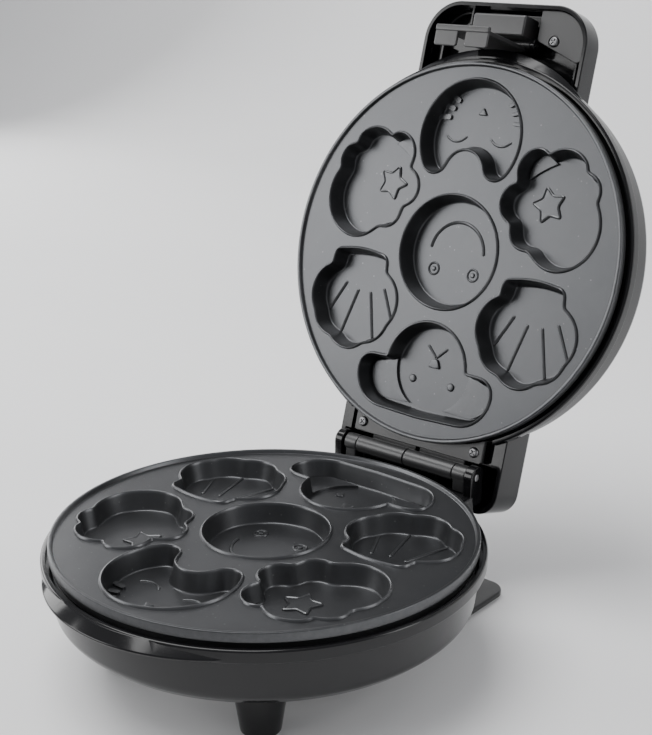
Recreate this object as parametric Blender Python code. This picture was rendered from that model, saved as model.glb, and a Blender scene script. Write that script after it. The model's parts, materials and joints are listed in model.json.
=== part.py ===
"""Donut maker: a round two-plate baking machine, modelled open.

Sizes are in millimetres and become metres when a piece is finished. Everything is drawn in the plate frame:
the origin is the centre of the lower cooking plate's face, +Z is up, -Y is the front and the lid is shut. The
hinge empty then turns the lid open, and the base empty stands the machine on the floor.
"""

import math

import bmesh
import bpy
from mathutils import Matrix, Vector

MM = 0.001
FIT = 0.3                # gap between two pieces that meet
TURNS = 40               # facets round a turned shell
SMALL_TURNS = 16         # facets round a small round piece

# Cooking plates
PLATE_R = 102.4
PLATE_T = 3.0
PLATE_PROUD = 4.5        # the plate's edge stands this far out of the housing's rim
SKIRT_DEPTH = 7.0
SKIRT_T = 3.0
LIP_H = 1.8
LIP_T = 2.0
SHUT_GAP = 4.0           # between the two plates' faces when the lid is shut
CUP_DEPTH = 9.0
CUP_DRAFT = 2.2          # how far a cup's wall leans in over its depth
CUP_WALL = 1.6
CUP_R = 30.5
SIDE_CUP_X = 56.2
BACK_CUP_Y = 35.0
FRONT_CUP_Y = -31.0
FACE_CUP_Y = -62.0
HEAD_CUP_Y = 64.0

# Housings
RIM_T = 2.3
RIM_GAP = 1.3            # between the plate's edge and the rim
RIM_R = PLATE_R + RIM_GAP + RIM_T
RIM_H = 6.0
STEP_IN = 2.4            # below its rim the shell steps in by this much
STEP_DROP = 1.2          # over this height
BEND_UP = 8.0            # the shell's side ends this far above its flat
EDGE_OUT = 7.0           # and turns in to the flat over a slanted edge this wide
EDGE_UP = 3.0            # and this high
BASE_LEAN = 3.0          # how far the base's side leans in over its height
LID_LEAN = 0.5           # the lid's side stands nearly upright
WALL_T = 2.5
SHELF_T = 5.7            # width of the shelf that the plate's skirt stands on
BASE_DEPTH = 38.0        # from the plate's face down to the base's underside
BASE_FLAT_R = RIM_R - 18.0
LID_TOP = 41.0           # from the lower plate's face up to the lid's top, shut
LID_FLAT_R = RIM_R - 28.0
LEDGE_REACH = RIM_R + 6.0    # the crescent ledge at the front
LEDGE_R = 85.4
LEDGE_SLOPE = 4.0
LEDGE_H = 6.5

# Hinge
HINGE_Y = RIM_R + 6.8
HINGE_Z = 3.06
OPEN_ANGLE = 106.44
BARREL_R = 4.8
BARREL_END = 31.8
KNUCKLE_L = 8.0
CHEEK_T = 5.0
CHEEK_R = 6.0
PIN_R = 2.0
BORE_CLEAR = 0.35
BLOCK_W = 46.0           # half the width of the block behind the bowl
BLOCK_BACK = HINGE_Y + 0.7
BLOCK_TOP = -6.0
BLOCK_LOW = -34.0
GLAND_R = 4.2            # the cord gland behind the block
GLAND_BORE_R = 2.6
GLAND_Z = -27.0
ARM_T = 2.2              # the lid barrel's arms
ARM_CLEAR = 0.8          # between them and the lid's plate
ARM_LOW = SHUT_GAP + SKIRT_DEPTH + ARM_CLEAR
ARM_FRONT = HINGE_Y - 14.8

# Tail of the lid and its hinge bracket
TAIL_W = 54.0
TAIL_END = HINGE_Y + 20.2
TAIL_LOW = 12.0
TAIL_TOP = 36.0
TAIL_CORNER = 12.0
BRACKET_W = 42.5
BRACKET_FRONT = PLATE_R - 12.4
BRACKET_END = PLATE_R + 4.4
BRACKET_T = 2.5
BRACKET_LOW = ARM_LOW - FIT - BRACKET_T
BRACKET_SCREW_X = 37.0
BRACKET_SCREW_Y = BRACKET_END - 5.6

# Handle and latch
HANDLE_W = 51.5
HANDLE_END = -RIM_R - 31.5
HANDLE_LOW = 17.0
HANDLE_TOP = 33.0
HANDLE_T = 2.3
HANDLE_CORNER = 21.5
LATCH_W = 16.4
LATCH_PIN_Y = -LEDGE_REACH - 4.5
LATCH_PIN_Z = 22.0
LATCH_PIN_R = 1.5
LATCH_LOW = -21.5
STEM_T = 2.4
STEM_IN = 3.0            # the stem is narrower than its cross-bar by this much on each side
BAR_T = 3.4
BAR_H = 2.5
BOSS_R = 3.2
TAB_LOW = 10.0
TAB_HIGH = 24.5
TAB_FRONT = 13.5         # the tab reaches this far in front of the pin
TAB_BACK = 2.0
EAR_T = 2.5
EAR_R = 3.5
COVER_T = 2.0
COVER_LEFT = 20.5
COVER_LEFT_Y = LATCH_PIN_Y - 2.0
COVER_RIGHT_Y = LATCH_PIN_Y + 9.5
COVER_SCREW_AT = (31.0, LATCH_PIN_Y - 2.0)
COVER_IN = 1.5           # the cover lies this far inside the handle's lower edge
LENS_R = 3.0
LENS_X = (27.0, 37.0)
LENS_Y = LATCH_PIN_Y - 7.5
SPRING_TURNS = 3
SPRING_WIRE_R = 0.45

# Feet
FLOOR_DEPTH = 64.0       # from the plate's face down to the floor
PAD_T = 1.7
LEG_X = 46.0
LEG_Y = -55.0
LEG_TOP_R = 12.3
LEG_LOW_R = 8.6
FOOT_W = 60.0
FOOT_END = BLOCK_BACK + 11.5
FOOT_FRONT = BASE_FLAT_R - 22.0
FOOT_T = 3.0
FOOT_CORNER = 10.0

# Under the plates and the base
ELEMENT_R = 66.0
ELEMENT_TUBE_R = 3.0
ELEMENT_DROP = 15.5      # from a plate's face to the middle of its heating element
SHIELD_R = RIM_R - 16.0
SHIELD_DROP = 22.0
SHIELD_T = 1.0
BOTTOM_T = 2.0           # the bottom cover
BOTTOM_R = 58.0
BOTTOM_HOLE_R = 50.0
BOTTOM_SCREW_R = 54.0
SCREW_HEAD_R = 2.6
SCREW_HEAD_H = 1.4
SCREW_SHANK_R = 1.4

# The open lid's handle reaches furthest back, and the ledge furthest forward: the frame's origin is midway.
OPEN = math.radians(OPEN_ANGLE)
BACK_REACH = (HINGE_Y + (HANDLE_END - HINGE_Y) * math.cos(OPEN)
              + (HANDLE_TOP - HINGE_Z) * math.sin(OPEN))
BODY_Y = (LEDGE_REACH - BACK_REACH) / 2

BLACK_GLOSS = ("gloss_black", (0.012, 0.012, 0.013), 0.12, 0.0)
BLACK_SATIN = ("satin_black", (0.02, 0.02, 0.021), 0.4, 0.0)
NON_STICK = ("non_stick_coating", (0.17, 0.172, 0.177), 0.34, 0.85)
STEEL = ("steel", (0.55, 0.55, 0.56), 0.3, 1.0)
DARK_STEEL = ("dark_steel", (0.16, 0.16, 0.17), 0.35, 1.0)
ALUMINIUM = ("aluminium", (0.75, 0.75, 0.76), 0.35, 1.0)
RUBBER = ("rubber", (0.02, 0.02, 0.02), 0.85, 0.0)
CERAMIC = ("ceramic", (0.8, 0.78, 0.72), 0.6, 0.0)
RED_LENS = ("red_lens", (0.5, 0.02, 0.01), 0.15, 0.0)
GREEN_LENS = ("green_lens", (0.02, 0.35, 0.06), 0.15, 0.0)


# ---- drawing helpers --------------------------------------------------------------------------------------

def arc(centre, radius, start, end, count):
    """Points along an arc, both ends included, angles in degrees."""
    steps = [math.radians(start + (end - start) * i / count) for i in range(count + 1)]
    return [(centre[0] + radius * math.cos(a), centre[1] + radius * math.sin(a)) for a in steps]


def arc_through(start, middle, end, count):
    """Points along the arc through three points, without its start."""
    a, b, c = Vector(start), Vector(middle), Vector(end)
    d = 2 * ((a - c).x * (b - c).y - (b - c).x * (a - c).y)
    p, q = (a - c).length_squared, (b - c).length_squared
    centre = Vector((p * (b - c).y - q * (a - c).y, q * (a - c).x - p * (b - c).x)) / d + c
    first = math.atan2(*(a - centre).yx)
    turn = math.remainder(math.atan2(*(b - centre).yx) - first, math.tau)
    turn += math.remainder(math.atan2(*(c - centre).yx) - math.atan2(*(b - centre).yx), math.tau)
    radius = (a - centre).length
    angles = [first + turn * (i + 1) / count for i in range(count)]
    return [(centre.x + radius * math.cos(t), centre.y + radius * math.sin(t)) for t in angles]


def rounded(corners, count=6):
    """A closed outline from corners (x, y, radius), going anticlockwise."""
    points = []
    for i, (x, y, radius) in enumerate(corners):
        here = Vector((x, y))
        if radius == 0:
            points.append((x, y))
            continue
        back = (Vector(corners[i - 1][:2]) - here).normalized()
        on = (Vector(corners[(i + 1) % len(corners)][:2]) - here).normalized()
        half = back.angle(on) / 2
        centre = here + (back + on).normalized() * radius / math.sin(half)
        run = radius / math.tan(half)
        points.append(tuple(here + back * run))
        through = centre + (here - centre).normalized() * radius
        points += arc_through(here + back * run, through, here + on * run, count)
    return points


def inset(points, distance):
    """The outline moved inwards, or outwards where the distance is negative."""
    moved = []
    for i, point in enumerate(points):
        here = Vector(point)
        back = (here - Vector(points[i - 1])).normalized()
        on = (Vector(points[(i + 1) % len(points)]) - here).normalized()
        inwards = Vector((-(back + on).y, (back + on).x)).normalized()
        moved.append(tuple(here + inwards * distance))
    return moved


def mirrored(points):
    """The outline's mirror image across the YZ plane."""
    return [(-x, y) for x, y in reversed(points)]


# ---- solids -----------------------------------------------------------------------------------------------

def new_object(name, bm):
    """An object from a bmesh, with its faces turned outwards."""
    bmesh.ops.remove_doubles(bm, verts=bm.verts, dist=0.0005)
    bmesh.ops.recalc_face_normals(bm, faces=bm.faces)
    mesh = bpy.data.meshes.new(name)
    bm.to_mesh(mesh)
    bm.free()
    obj = bpy.data.objects.new(name, mesh)
    bpy.context.collection.objects.link(obj)
    return obj


def loft(name, rings):
    """A closed solid through rings of points (outline, z), all of one length."""
    bm = bmesh.new()
    loops = [[bm.verts.new((x, y, z)) for x, y in outline] for outline, z in rings]
    count = len(loops[0])
    for low, high in zip(loops, loops[1:]):
        for i in range(count):
            j = (i + 1) % count
            bm.faces.new((low[i], low[j], high[j], high[i]))
    bm.faces.new(loops[0])
    bm.faces.new(loops[-1])
    return new_object(name, bm)


def prism(name, outline, low, high):
    """An upright solid between two heights."""
    return loft(name, [(outline, low), (outline, high)])


def box(name, x, y, z):
    """A box from three (low, high) pairs."""
    return prism(name, [(x[0], y[0]), (x[1], y[0]), (x[1], y[1]), (x[0], y[1])], z[0], z[1])


def lathe(name, profile, turns=TURNS):
    """A solid of revolution about Z, from a closed profile of (radius, z)."""
    bm = bmesh.new()
    verts = [bm.verts.new((r, 0, z)) for r, z in profile]
    edges = [bm.edges.new((verts[i - 1], verts[i])) for i in range(len(verts))]
    edges = [e for e in edges if e.verts[0].co.x > 0 or e.verts[1].co.x > 0]
    bmesh.ops.spin(bm, geom=verts + edges, cent=(0, 0, 0), axis=(0, 0, 1), angle=math.tau, steps=turns,
                   use_merge=True)
    loose = [v for v in bm.verts if not v.link_faces]
    bmesh.ops.delete(bm, geom=loose, context="VERTS")
    return new_object(name, bm)


def disc(name, radius, low, high, at=(0, 0), turns=SMALL_TURNS, top_radius=None):
    """An upright round solid, tapered where a top radius is given."""
    ring = arc(at, radius, 0, 360, turns)[:-1]
    top = arc(at, radius if top_radius is None else top_radius, 0, 360, turns)[:-1]
    return loft(name, [(ring, low), (top, high)])


def rod(name, radius, x, at):
    """A round bar along X between x[0] and x[1], centred on (y, z)."""
    obj = disc(name, radius, x[0], x[1])
    obj.data.transform(Matrix.Translation((0, at[0], at[1])) @ Matrix.Rotation(math.pi / 2, 4, "Y"))
    return obj


def combine(target, other, operation):
    """Cuts or joins another solid, and removes it."""
    modifier = target.modifiers.new("combine", "BOOLEAN")
    modifier.operation = operation
    modifier.solver = "EXACT"
    modifier.object = other
    graph = bpy.context.evaluated_depsgraph_get()
    mesh = bpy.data.meshes.new_from_object(target.evaluated_get(graph))
    target.modifiers.clear()
    target.data = mesh
    bpy.data.objects.remove(other)
    return target


def cut(target, *tools):
    """Takes each tool's volume out of the target."""
    for tool in tools:
        combine(target, tool, "DIFFERENCE")
    return target


def join(target, *others):
    """Makes the target and the others one solid."""
    for other in others:
        combine(target, other, "UNION")
    return target


def material(look):
    """The Principled material of a (name, colour, roughness, metallic) look."""
    name, colour, roughness, metallic = look
    made = bpy.data.materials.get(name)
    if made is None:
        made = bpy.data.materials.new(name)
        made.use_nodes = True
        shader = made.node_tree.nodes["Principled BSDF"]
        shader.inputs["Base Color"].default_value = (*colour, 1)
        shader.inputs["Roughness"].default_value = roughness
        shader.inputs["Metallic"].default_value = metallic
    return made


def finish(obj, body, look):
    """Turns a drawn piece into metres, hangs it on its body's empty and gives it its material."""
    obj.data.transform(Matrix.Scale(MM, 4) @ Matrix.Translation(-BODY_ORIGINS[body]))
    obj.parent = EMPTIES[body]
    obj.data.materials.clear()
    obj.data.materials.append(material(look))
    obj.data.shade_smooth()
    obj.data.set_sharp_from_angle(angle=math.radians(35))
    return obj


# ---- cup outlines, each about its own cup's centre --------------------------------------------------------

def round_cup():
    """The plain round cup in the middle."""
    return arc((0, 0), CUP_R, 0, 360, 24)[:-1]


def face_cup():
    """A round head whose top dips between two rounded horns."""
    horn_r, horn_x, horn_y = 7.3, 19.5, 13.5
    dip_r, dip_y = 12.95, 18.95
    reach = math.degrees(math.atan2(horn_y, horn_x))
    meet = math.degrees(math.atan2(horn_y - dip_y, horn_x))
    points = arc((0, 0), horn_r + math.hypot(horn_x, horn_y), 180 - reach, 360 + reach, 14)
    points += arc((horn_x, horn_y), horn_r, reach, 180 + meet, 4)[1:]
    points += arc((0, dip_y), dip_r, meet, -180 - meet, 5)[1:]
    points += arc((-horn_x, horn_y), horn_r, -meet, 180 - reach, 4)[1:-1]
    return points


def head_cup():
    """A round head with a wide rounded ear on each side."""
    head_r, ear_low, ear_w, ear_top = 25.0, -1.5, 43.0, 25.0
    points = arc((0, 0), head_r, 184, 356, 9)
    points += [(ear_w - 8, ear_low)]
    points += arc((ear_w - 8, ear_low + 8), 8, -60, 0, 2)
    points += arc((ear_w - 18, ear_top - 18), 18, 0, 90, 3)[1:]
    points += [(0, ear_top + 1)]
    points += arc((18 - ear_w, ear_top - 18), 18, 90, 180, 3)
    points += arc((8 - ear_w, ear_low + 8), 8, 180, 240, 2)[1:]
    points += [(8 - ear_w, ear_low)]
    return points


def shell_cup():
    """A scallop shell: five lobes over a narrow foot."""
    points = [(11, 22.5)]
    points += arc_through((11, 22.5), (0, 27.5), (-11, 22.5), 3)
    points += arc_through((-11, 22.5), (-19.8, 19), (-25, 10.5), 3)
    points += arc_through((-25, 10.5), (-29.3, -1), (-18.5, -17), 4)
    points += arc_through((-18, -22.5), (-17, -25.5), (-13.5, -26.5), 2)
    points += arc_through((-13.5, -26.5), (0, -28), (13.5, -26.5), 2)
    points += arc_through((13.5, -26.5), (17, -25.5), (18, -22.5), 2)
    points += [(18.5, -17)]
    points += arc_through((18.5, -17), (29.3, -1), (25, 10.5), 4)
    points += arc_through((25, 10.5), (19.8, 19), (11, 22.5), 3)[:-1]
    return points


def star_cup():
    """A cloud-edged treat with one big lobe and a small tab."""
    points = [(12, 30.5)]
    points += arc_through((12, 30.5), (2, 29.5), (-4, 25.5), 2)
    points += arc_through((-8, 22.5), (-15.5, 21.5), (-20, 14.5), 3)
    points += arc_through((-21, 10), (-29, 2), (-21.5, -10), 3)
    points += arc_through((-21, -12), (-20.5, -24), (-13, -29), 3)
    points += arc_through((-13, -29), (-10, -29), (-6, -26), 2)
    points += arc_through((-6, -26), (8, -30), (16, -24.5), 2)
    points += arc_through((17, -20), (24.5, -16), (25, -6), 3)
    points += arc_through((25, -6), (29.5, 12), (12, 30.5), 6)[:-1]
    return points


def cup_places():
    """Each cup's outline on the plate."""
    for outline, x, y in ((round_cup(), 0, 0), (face_cup(), 0, FACE_CUP_Y), (head_cup(), 0, HEAD_CUP_Y),
                          (shell_cup(), SIDE_CUP_X, BACK_CUP_Y), (star_cup(), SIDE_CUP_X, FRONT_CUP_Y)):
        placed = [(px + x, py + y) for px, py in outline]
        yield placed
        if x:
            yield mirrored(placed)


# ---- pieces -----------------------------------------------------------------------------------------------

def cooking_plate(name):
    """The cast plate: a disc with a skirt, an edge lip and seven cups, face up at z = 0."""
    inner = PLATE_R - SKIRT_T
    plate = lathe(name, [(0, -PLATE_T), (inner, -PLATE_T), (inner, -SKIRT_DEPTH), (PLATE_R, -SKIRT_DEPTH),
                         (PLATE_R, LIP_H), (PLATE_R - LIP_T, LIP_H), (PLATE_R - LIP_T, 0), (0, 0)])
    for outline in cup_places():
        outer = inset(outline, -CUP_WALL)
        floor = inset(outline, CUP_DRAFT - CUP_WALL)
        join(plate, loft("cup", [(floor, -CUP_DEPTH - CUP_WALL), (outer, -PLATE_T / 2)]))
    for outline in cup_places():
        floor = inset(outline, CUP_DRAFT)
        above = inset(outline, -CUP_DRAFT / CUP_DEPTH)
        cut(plate, loft("hollow", [(floor, -CUP_DEPTH), (above, 1)]))
    return plate


def turn_over(obj):
    """Mirrors a drawn piece from the lower plate's side to the shut lid's side."""
    obj.data.transform(Matrix.Translation((0, 0, SHUT_GAP)) @ Matrix.Diagonal((1, 1, -1, 1)))
    obj.data.flip_normals()
    return obj


def outer_profile(depth, flat_r, lean, grow=0.0):
    """A housing's outside below its plate, from the axis outwards, made larger by `grow`."""
    rim = RIM_R + grow
    side = rim - STEP_IN
    return [(0, -depth - grow), (flat_r, -depth - grow), (flat_r + EDGE_OUT, -depth + EDGE_UP - grow),
            (side - lean, -depth + BEND_UP), (side, -PLATE_PROUD - RIM_H - STEP_DROP),
            (rim, -PLATE_PROUD - RIM_H), (rim, -PLATE_PROUD), (0, -PLATE_PROUD)]


def inner_profile(depth, flat_r):
    """A housing's hollow: the plate's recess, its shelf, and the space below."""
    recess = RIM_R - RIM_T
    shelf = recess - SHELF_T
    return [(0, -depth + WALL_T), (flat_r - 1, -depth + WALL_T), (shelf - 2, -depth + 9 + WALL_T),
            (shelf, -SKIRT_DEPTH - 4), (shelf, -SKIRT_DEPTH - FIT), (recess, -SKIRT_DEPTH - FIT),
            (recess, -PLATE_PROUD + 1), (0, -PLATE_PROUD + 1)]


def front_ledge():
    """The crescent that grows out of the rim at the front."""
    centre = (0, LEDGE_R - LEDGE_REACH)
    top = -PLATE_PROUD - FIT
    rings = [(LEDGE_R - 3, top - LEDGE_H), (LEDGE_R, top - LEDGE_SLOPE - 0.5), (LEDGE_R, top - LEDGE_SLOPE),
             (LEDGE_R - LEDGE_SLOPE - 1, top)]
    return loft("ledge", [(arc(centre, r, 0, 360, TURNS)[:-1], z) for r, z in rings])


def housing(name, depth, flat_r, lean):
    """A housing's outside as one solid, with its ledge."""
    return join(lathe(name, outer_profile(depth, flat_r, lean)), front_ledge())


def hinge_bore(span):
    """A cutter along the hinge's axis."""
    return rod("bore", PIN_R + BORE_CLEAR, span, (HINGE_Y, HINGE_Z))


def cover_screw_places():
    """Centres of the bottom cover's screws."""
    return arc((0, 0), BOTTOM_SCREW_R, 90, 330, 2)


def lower_housing():
    """The bowl, the block behind it and the cheeks that hold the hinge pin."""
    bowl = housing("lower_housing", BASE_DEPTH, BASE_FLAT_R, BASE_LEAN)
    block = rounded([(-BLOCK_W, 70, 0), (BLOCK_W, 70, 0), (BLOCK_W, BLOCK_BACK, 5),
                     (-BLOCK_W, BLOCK_BACK, 5)], 4)
    join(bowl, prism("block", block, BLOCK_LOW, BLOCK_TOP))
    cheek_in = BARREL_END + KNUCKLE_L + 3 * FIT
    for side in (-1, 1):
        span = sorted((side * cheek_in, side * (cheek_in + CHEEK_T)))
        cheek = rod("cheek", CHEEK_R, span, (HINGE_Y, HINGE_Z))
        join(cheek, box("web", span, (HINGE_Y - CHEEK_R, HINGE_Y + CHEEK_R - 1), (BLOCK_TOP - 5, HINGE_Z)))
        join(bowl, cheek)
    cut(bowl, lathe("hollow", inner_profile(BASE_DEPTH, BASE_FLAT_R)))
    cut(bowl, box("bay", (-BLOCK_W + 3, BLOCK_W - 3), (70, BLOCK_BACK - 3), (BLOCK_LOW + 3, -14)))
    cut(bowl, disc("cover_hole", BOTTOM_HOLE_R, -BASE_DEPTH - 1, -BASE_DEPTH + WALL_T + 1, turns=TURNS))
    for place in cover_screw_places():
        cut(bowl, disc("screw_hole", SCREW_SHANK_R + FIT, -BASE_DEPTH - 1, -BASE_DEPTH + WALL_T + 1, place,
                       turns=12))
    cut(bowl, hinge_bore((-BLOCK_W - 5, BLOCK_W + 5)))
    gland_hole = disc("gland_hole", GLAND_R + FIT, -6, 6, turns=16)
    gland_hole.data.transform(Matrix.Translation((0, BLOCK_BACK, GLAND_Z))
                              @ Matrix.Rotation(math.pi / 2, 4, "X"))
    return cut(bowl, gland_hole)


def cord_gland():
    """The stepped bush that the power cord would come out of."""
    profile = [(GLAND_BORE_R, -6), (GLAND_R, -6), (GLAND_R, FIT), (GLAND_R + 1.2, FIT), (GLAND_R + 0.2, 5),
               (GLAND_BORE_R, 5)]
    gland = lathe("cord_gland", profile, 16)
    gland.data.transform(Matrix.Translation((0, BLOCK_BACK, GLAND_Z)) @ Matrix.Rotation(-math.pi / 2, 4, "X"))
    return gland


def bottom_cover():
    """The round cover under the base, with its screw holes."""
    cover = disc("bottom_cover", BOTTOM_R, -BASE_DEPTH - FIT - BOTTOM_T, -BASE_DEPTH - FIT, turns=TURNS)
    for place in cover_screw_places():
        cut(cover, disc("hole", SCREW_SHANK_R + FIT, -BASE_DEPTH - 4, -BASE_DEPTH + 1, place, 12))
    return cover


def screw(name, at, seat, length=5.0):
    """A pan head and its shank, which points up from the head's seat."""
    profile = [(0, -SCREW_HEAD_H), (SCREW_HEAD_R - 0.8, -SCREW_HEAD_H), (SCREW_HEAD_R, -SCREW_HEAD_H / 2),
               (SCREW_HEAD_R, 0), (SCREW_SHANK_R, 0), (SCREW_SHANK_R, length), (0, length)]
    made = lathe(name, profile, 10)
    made.data.transform(Matrix.Translation((*at, seat)))
    return made


def heating_element(name):
    """The ring heater that lies against the back of a plate."""
    tube = arc((ELEMENT_R, -ELEMENT_DROP), ELEMENT_TUBE_R, 0, 360, 6)[:-1]
    return lathe(name, tube, 28)


def heat_shield(name):
    """A shallow reflector dish behind the heater."""
    low, high = -SHIELD_DROP, -SHIELD_DROP + 5
    return lathe(name, [(12, low - SHIELD_T), (SHIELD_R - 6, low - SHIELD_T), (SHIELD_R, high),
                        (SHIELD_R - 1, high), (SHIELD_R - 6.5, low), (12, low)], 28)


def knuckle(name, side):
    """A base knuckle: a short sleeve round the pin on its own pedestal."""
    start = BARREL_END + FIT
    span = sorted((side * start, side * (start + KNUCKLE_L)))
    sleeve = rod(name, BARREL_R, span, (HINGE_Y, HINGE_Z))
    join(sleeve, box("pedestal", (span[0] + 0.5, span[1] - 0.5), (HINGE_Y - 4, BLOCK_BACK - 0.5),
                     (BLOCK_TOP + FIT, HINGE_Z)))
    return cut(sleeve, hinge_bore((span[0] - 1, span[1] + 1)))


def barrel(name, side):
    """Half of the lid's barrel with the arm that reaches over the bracket."""
    span = sorted((side * FIT, side * BARREL_END))
    tube = rod(name, BARREL_R, span, (HINGE_Y, HINGE_Z))
    arm = (span[0] + 1, span[1] - 1)
    join(tube, box("riser", arm, (HINGE_Y - 3, HINGE_Y + 2.2), (HINGE_Z, ARM_LOW + ARM_T)))
    join(tube, box("arm", arm, (ARM_FRONT, HINGE_Y), (ARM_LOW, ARM_LOW + ARM_T)))
    return cut(tube, hinge_bore((span[0] - 1, span[1] + 1)))


def lid_bracket():
    """The plate that holds the barrel's arms to the lid, cut round the cooking plate."""
    outline = [(-BRACKET_W, BRACKET_FRONT), (BRACKET_W, BRACKET_FRONT), (BRACKET_W, BRACKET_END),
               (-BRACKET_W, BRACKET_END)]
    bracket = prism("lid_hinge_bracket", outline, BRACKET_LOW, BRACKET_LOW + BRACKET_T)
    cut(bracket, disc("plate_room", PLATE_R + 2 * FIT, 0, 30, turns=2 * TURNS))
    for side in (-1, 1):
        cut(bracket, disc("hole", SCREW_SHANK_R + FIT, 0, 30, (side * BRACKET_SCREW_X, BRACKET_SCREW_Y), 12))
    return bracket


def lid_housing():
    """The lid's shell with the tail that shrouds the hinge."""
    drop = LID_TOP - SHUT_GAP
    shell = turn_over(housing("lid_housing", drop, LID_FLAT_R, LID_LEAN))
    tail = rounded([(-TAIL_W, 70, 0), (TAIL_W, 70, 0), (TAIL_W, TAIL_END, TAIL_CORNER),
                    (-TAIL_W, TAIL_END, TAIL_CORNER)])
    join(shell, prism("tail", tail, TAIL_LOW, TAIL_TOP))
    cut(shell, turn_over(lathe("hollow", inner_profile(drop, LID_FLAT_R))))
    room = RIM_R + 1
    bay = rounded([(-TAIL_W + WALL_T, room, 0), (TAIL_W - WALL_T, room, 0),
                   (TAIL_W - WALL_T, TAIL_END - WALL_T, TAIL_CORNER - WALL_T),
                   (-TAIL_W + WALL_T, TAIL_END - WALL_T, TAIL_CORNER - WALL_T)])
    cut(shell, prism("bay", bay, TAIL_LOW - 1, TAIL_TOP - WALL_T))
    hinge_room = ARM_LOW + ARM_T + 2 * FIT
    cut(shell, box("hinge_room", (-BLOCK_W - 1, BLOCK_W + 1), (BRACKET_FRONT - FIT, TAIL_END - WALL_T - 2),
                   (0, hinge_room)))
    for side in (-1, 1):
        place = (side * BRACKET_SCREW_X, BRACKET_SCREW_Y)
        cut(shell, disc("screw_hole", SCREW_SHANK_R + FIT, 0, 22, place, 12))
    return shell


def handle():
    """The hollow handle in front of the lid, with the ears that carry the latch's pin."""
    corners = [(-HANDLE_W, HANDLE_END, HANDLE_CORNER), (HANDLE_W, HANDLE_END, HANDLE_CORNER),
               (HANDLE_W, -60, 0), (-HANDLE_W, -60, 0)]
    outline = rounded(corners, 8)
    frame = prism("handle", outline, HANDLE_LOW, HANDLE_TOP)
    hollow = prism("hollow", inset(outline, HANDLE_T), HANDLE_LOW - 1, HANDLE_TOP - HANDLE_T)
    cut(frame, hollow)
    for side in (-1, 1):
        inner = LATCH_W + FIT
        ear = box("ear", sorted((side * inner, side * (inner + EAR_T))),
                  (LATCH_PIN_Y - EAR_R, LATCH_PIN_Y + EAR_R), (LATCH_PIN_Z - EAR_R, HANDLE_TOP - 1))
        join(frame, ear)
    cut(frame, turn_over(lathe("lid_room", outer_profile(LID_TOP - SHUT_GAP, LID_FLAT_R, LID_LEAN, FIT))))
    cut(frame, rod("pin_hole", LATCH_PIN_R + FIT, (-30, 30), (LATCH_PIN_Y, LATCH_PIN_Z)))
    for x in LENS_X:
        cut(frame, disc("lens_hole", LENS_R + FIT, HANDLE_TOP - 5, HANDLE_TOP + 1, (x, LENS_Y), 16))
    return frame


def lens(name, x):
    """A lamp lens in the handle's roof: a stem with a domed flange."""
    profile = [(0, HANDLE_TOP - 4), (LENS_R, HANDLE_TOP - 4), (LENS_R, HANDLE_TOP + FIT),
               (LENS_R + 1, HANDLE_TOP + FIT), (LENS_R + 0.6, HANDLE_TOP + 1.1), (0, HANDLE_TOP + 1.6)]
    made = lathe(name, profile, 16)
    made.data.transform(Matrix.Translation((x, LENS_Y, 0)))
    return made


def handle_cover():
    """The panel that closes the handle's right half from below."""
    reach = HANDLE_W - HANDLE_T - FIT
    low = HANDLE_LOW + COVER_IN
    outline = rounded([(COVER_LEFT, HANDLE_END + HANDLE_T + FIT, 0),
                       (reach, HANDLE_END + HANDLE_T + FIT, HANDLE_CORNER - HANDLE_T),
                       (reach, COVER_RIGHT_Y, 0), (COVER_LEFT, COVER_LEFT_Y, 0)], 8)
    panel = prism("handle_cover", outline, low, low + COVER_T)
    return cut(panel, disc("hole", SCREW_SHANK_R + FIT, low - 1, low + COVER_T + 1, COVER_SCREW_AT, 12))


def latch():
    """The finger tab, its boss on the pin, and the stem with the cross-bar that hooks the base's ledge."""
    back = -LEDGE_REACH - 2 * FIT
    stem = box("latch", (-LATCH_W + STEM_IN, LATCH_W - STEM_IN), (back - STEM_T, back),
               (LATCH_LOW, LATCH_PIN_Z + 1))
    join(stem, box("bar", (-LATCH_W, LATCH_W), (back - BAR_T, back), (LATCH_LOW - 1, LATCH_LOW - 1 + BAR_H)))
    join(stem, rod("boss", BOSS_R, (-LATCH_W, LATCH_W), (LATCH_PIN_Y, LATCH_PIN_Z)))
    join(stem, box("tab", (-LATCH_W, LATCH_W), (LATCH_PIN_Y - TAB_FRONT, LATCH_PIN_Y - TAB_BACK),
                   (TAB_LOW, TAB_HIGH)))
    return cut(stem, rod("bore", LATCH_PIN_R + BORE_CLEAR, (-30, 30), (LATCH_PIN_Y, LATCH_PIN_Z)))


def latch_spring():
    """The torsion spring beside the latch: a coil round the pin's end."""
    start = LATCH_W + FIT + EAR_T + 1
    coil_r = LATCH_PIN_R + 3 * FIT
    curve = bpy.data.curves.new("latch_spring", "CURVE")
    curve.dimensions = "3D"
    curve.bevel_depth = SPRING_WIRE_R
    curve.bevel_resolution = 0
    curve.use_fill_caps = True
    spline = curve.splines.new("POLY")
    count = SPRING_TURNS * 8
    spline.points.add(count)
    for i, point in enumerate(spline.points):
        a = math.tau * i / 8
        x = start + 3 * SPRING_WIRE_R * i / 8
        point.co = (-x, LATCH_PIN_Y + coil_r * math.cos(a), LATCH_PIN_Z + coil_r * math.sin(a), 1)
    coil = bpy.data.objects.new("coil", curve)
    bpy.context.collection.objects.link(coil)
    graph = bpy.context.evaluated_depsgraph_get()
    mesh = bpy.data.meshes.new_from_object(coil.evaluated_get(graph))
    bpy.data.objects.remove(coil)
    spring = bpy.data.objects.new("latch_spring", mesh)
    bpy.context.collection.objects.link(spring)
    return spring


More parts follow.
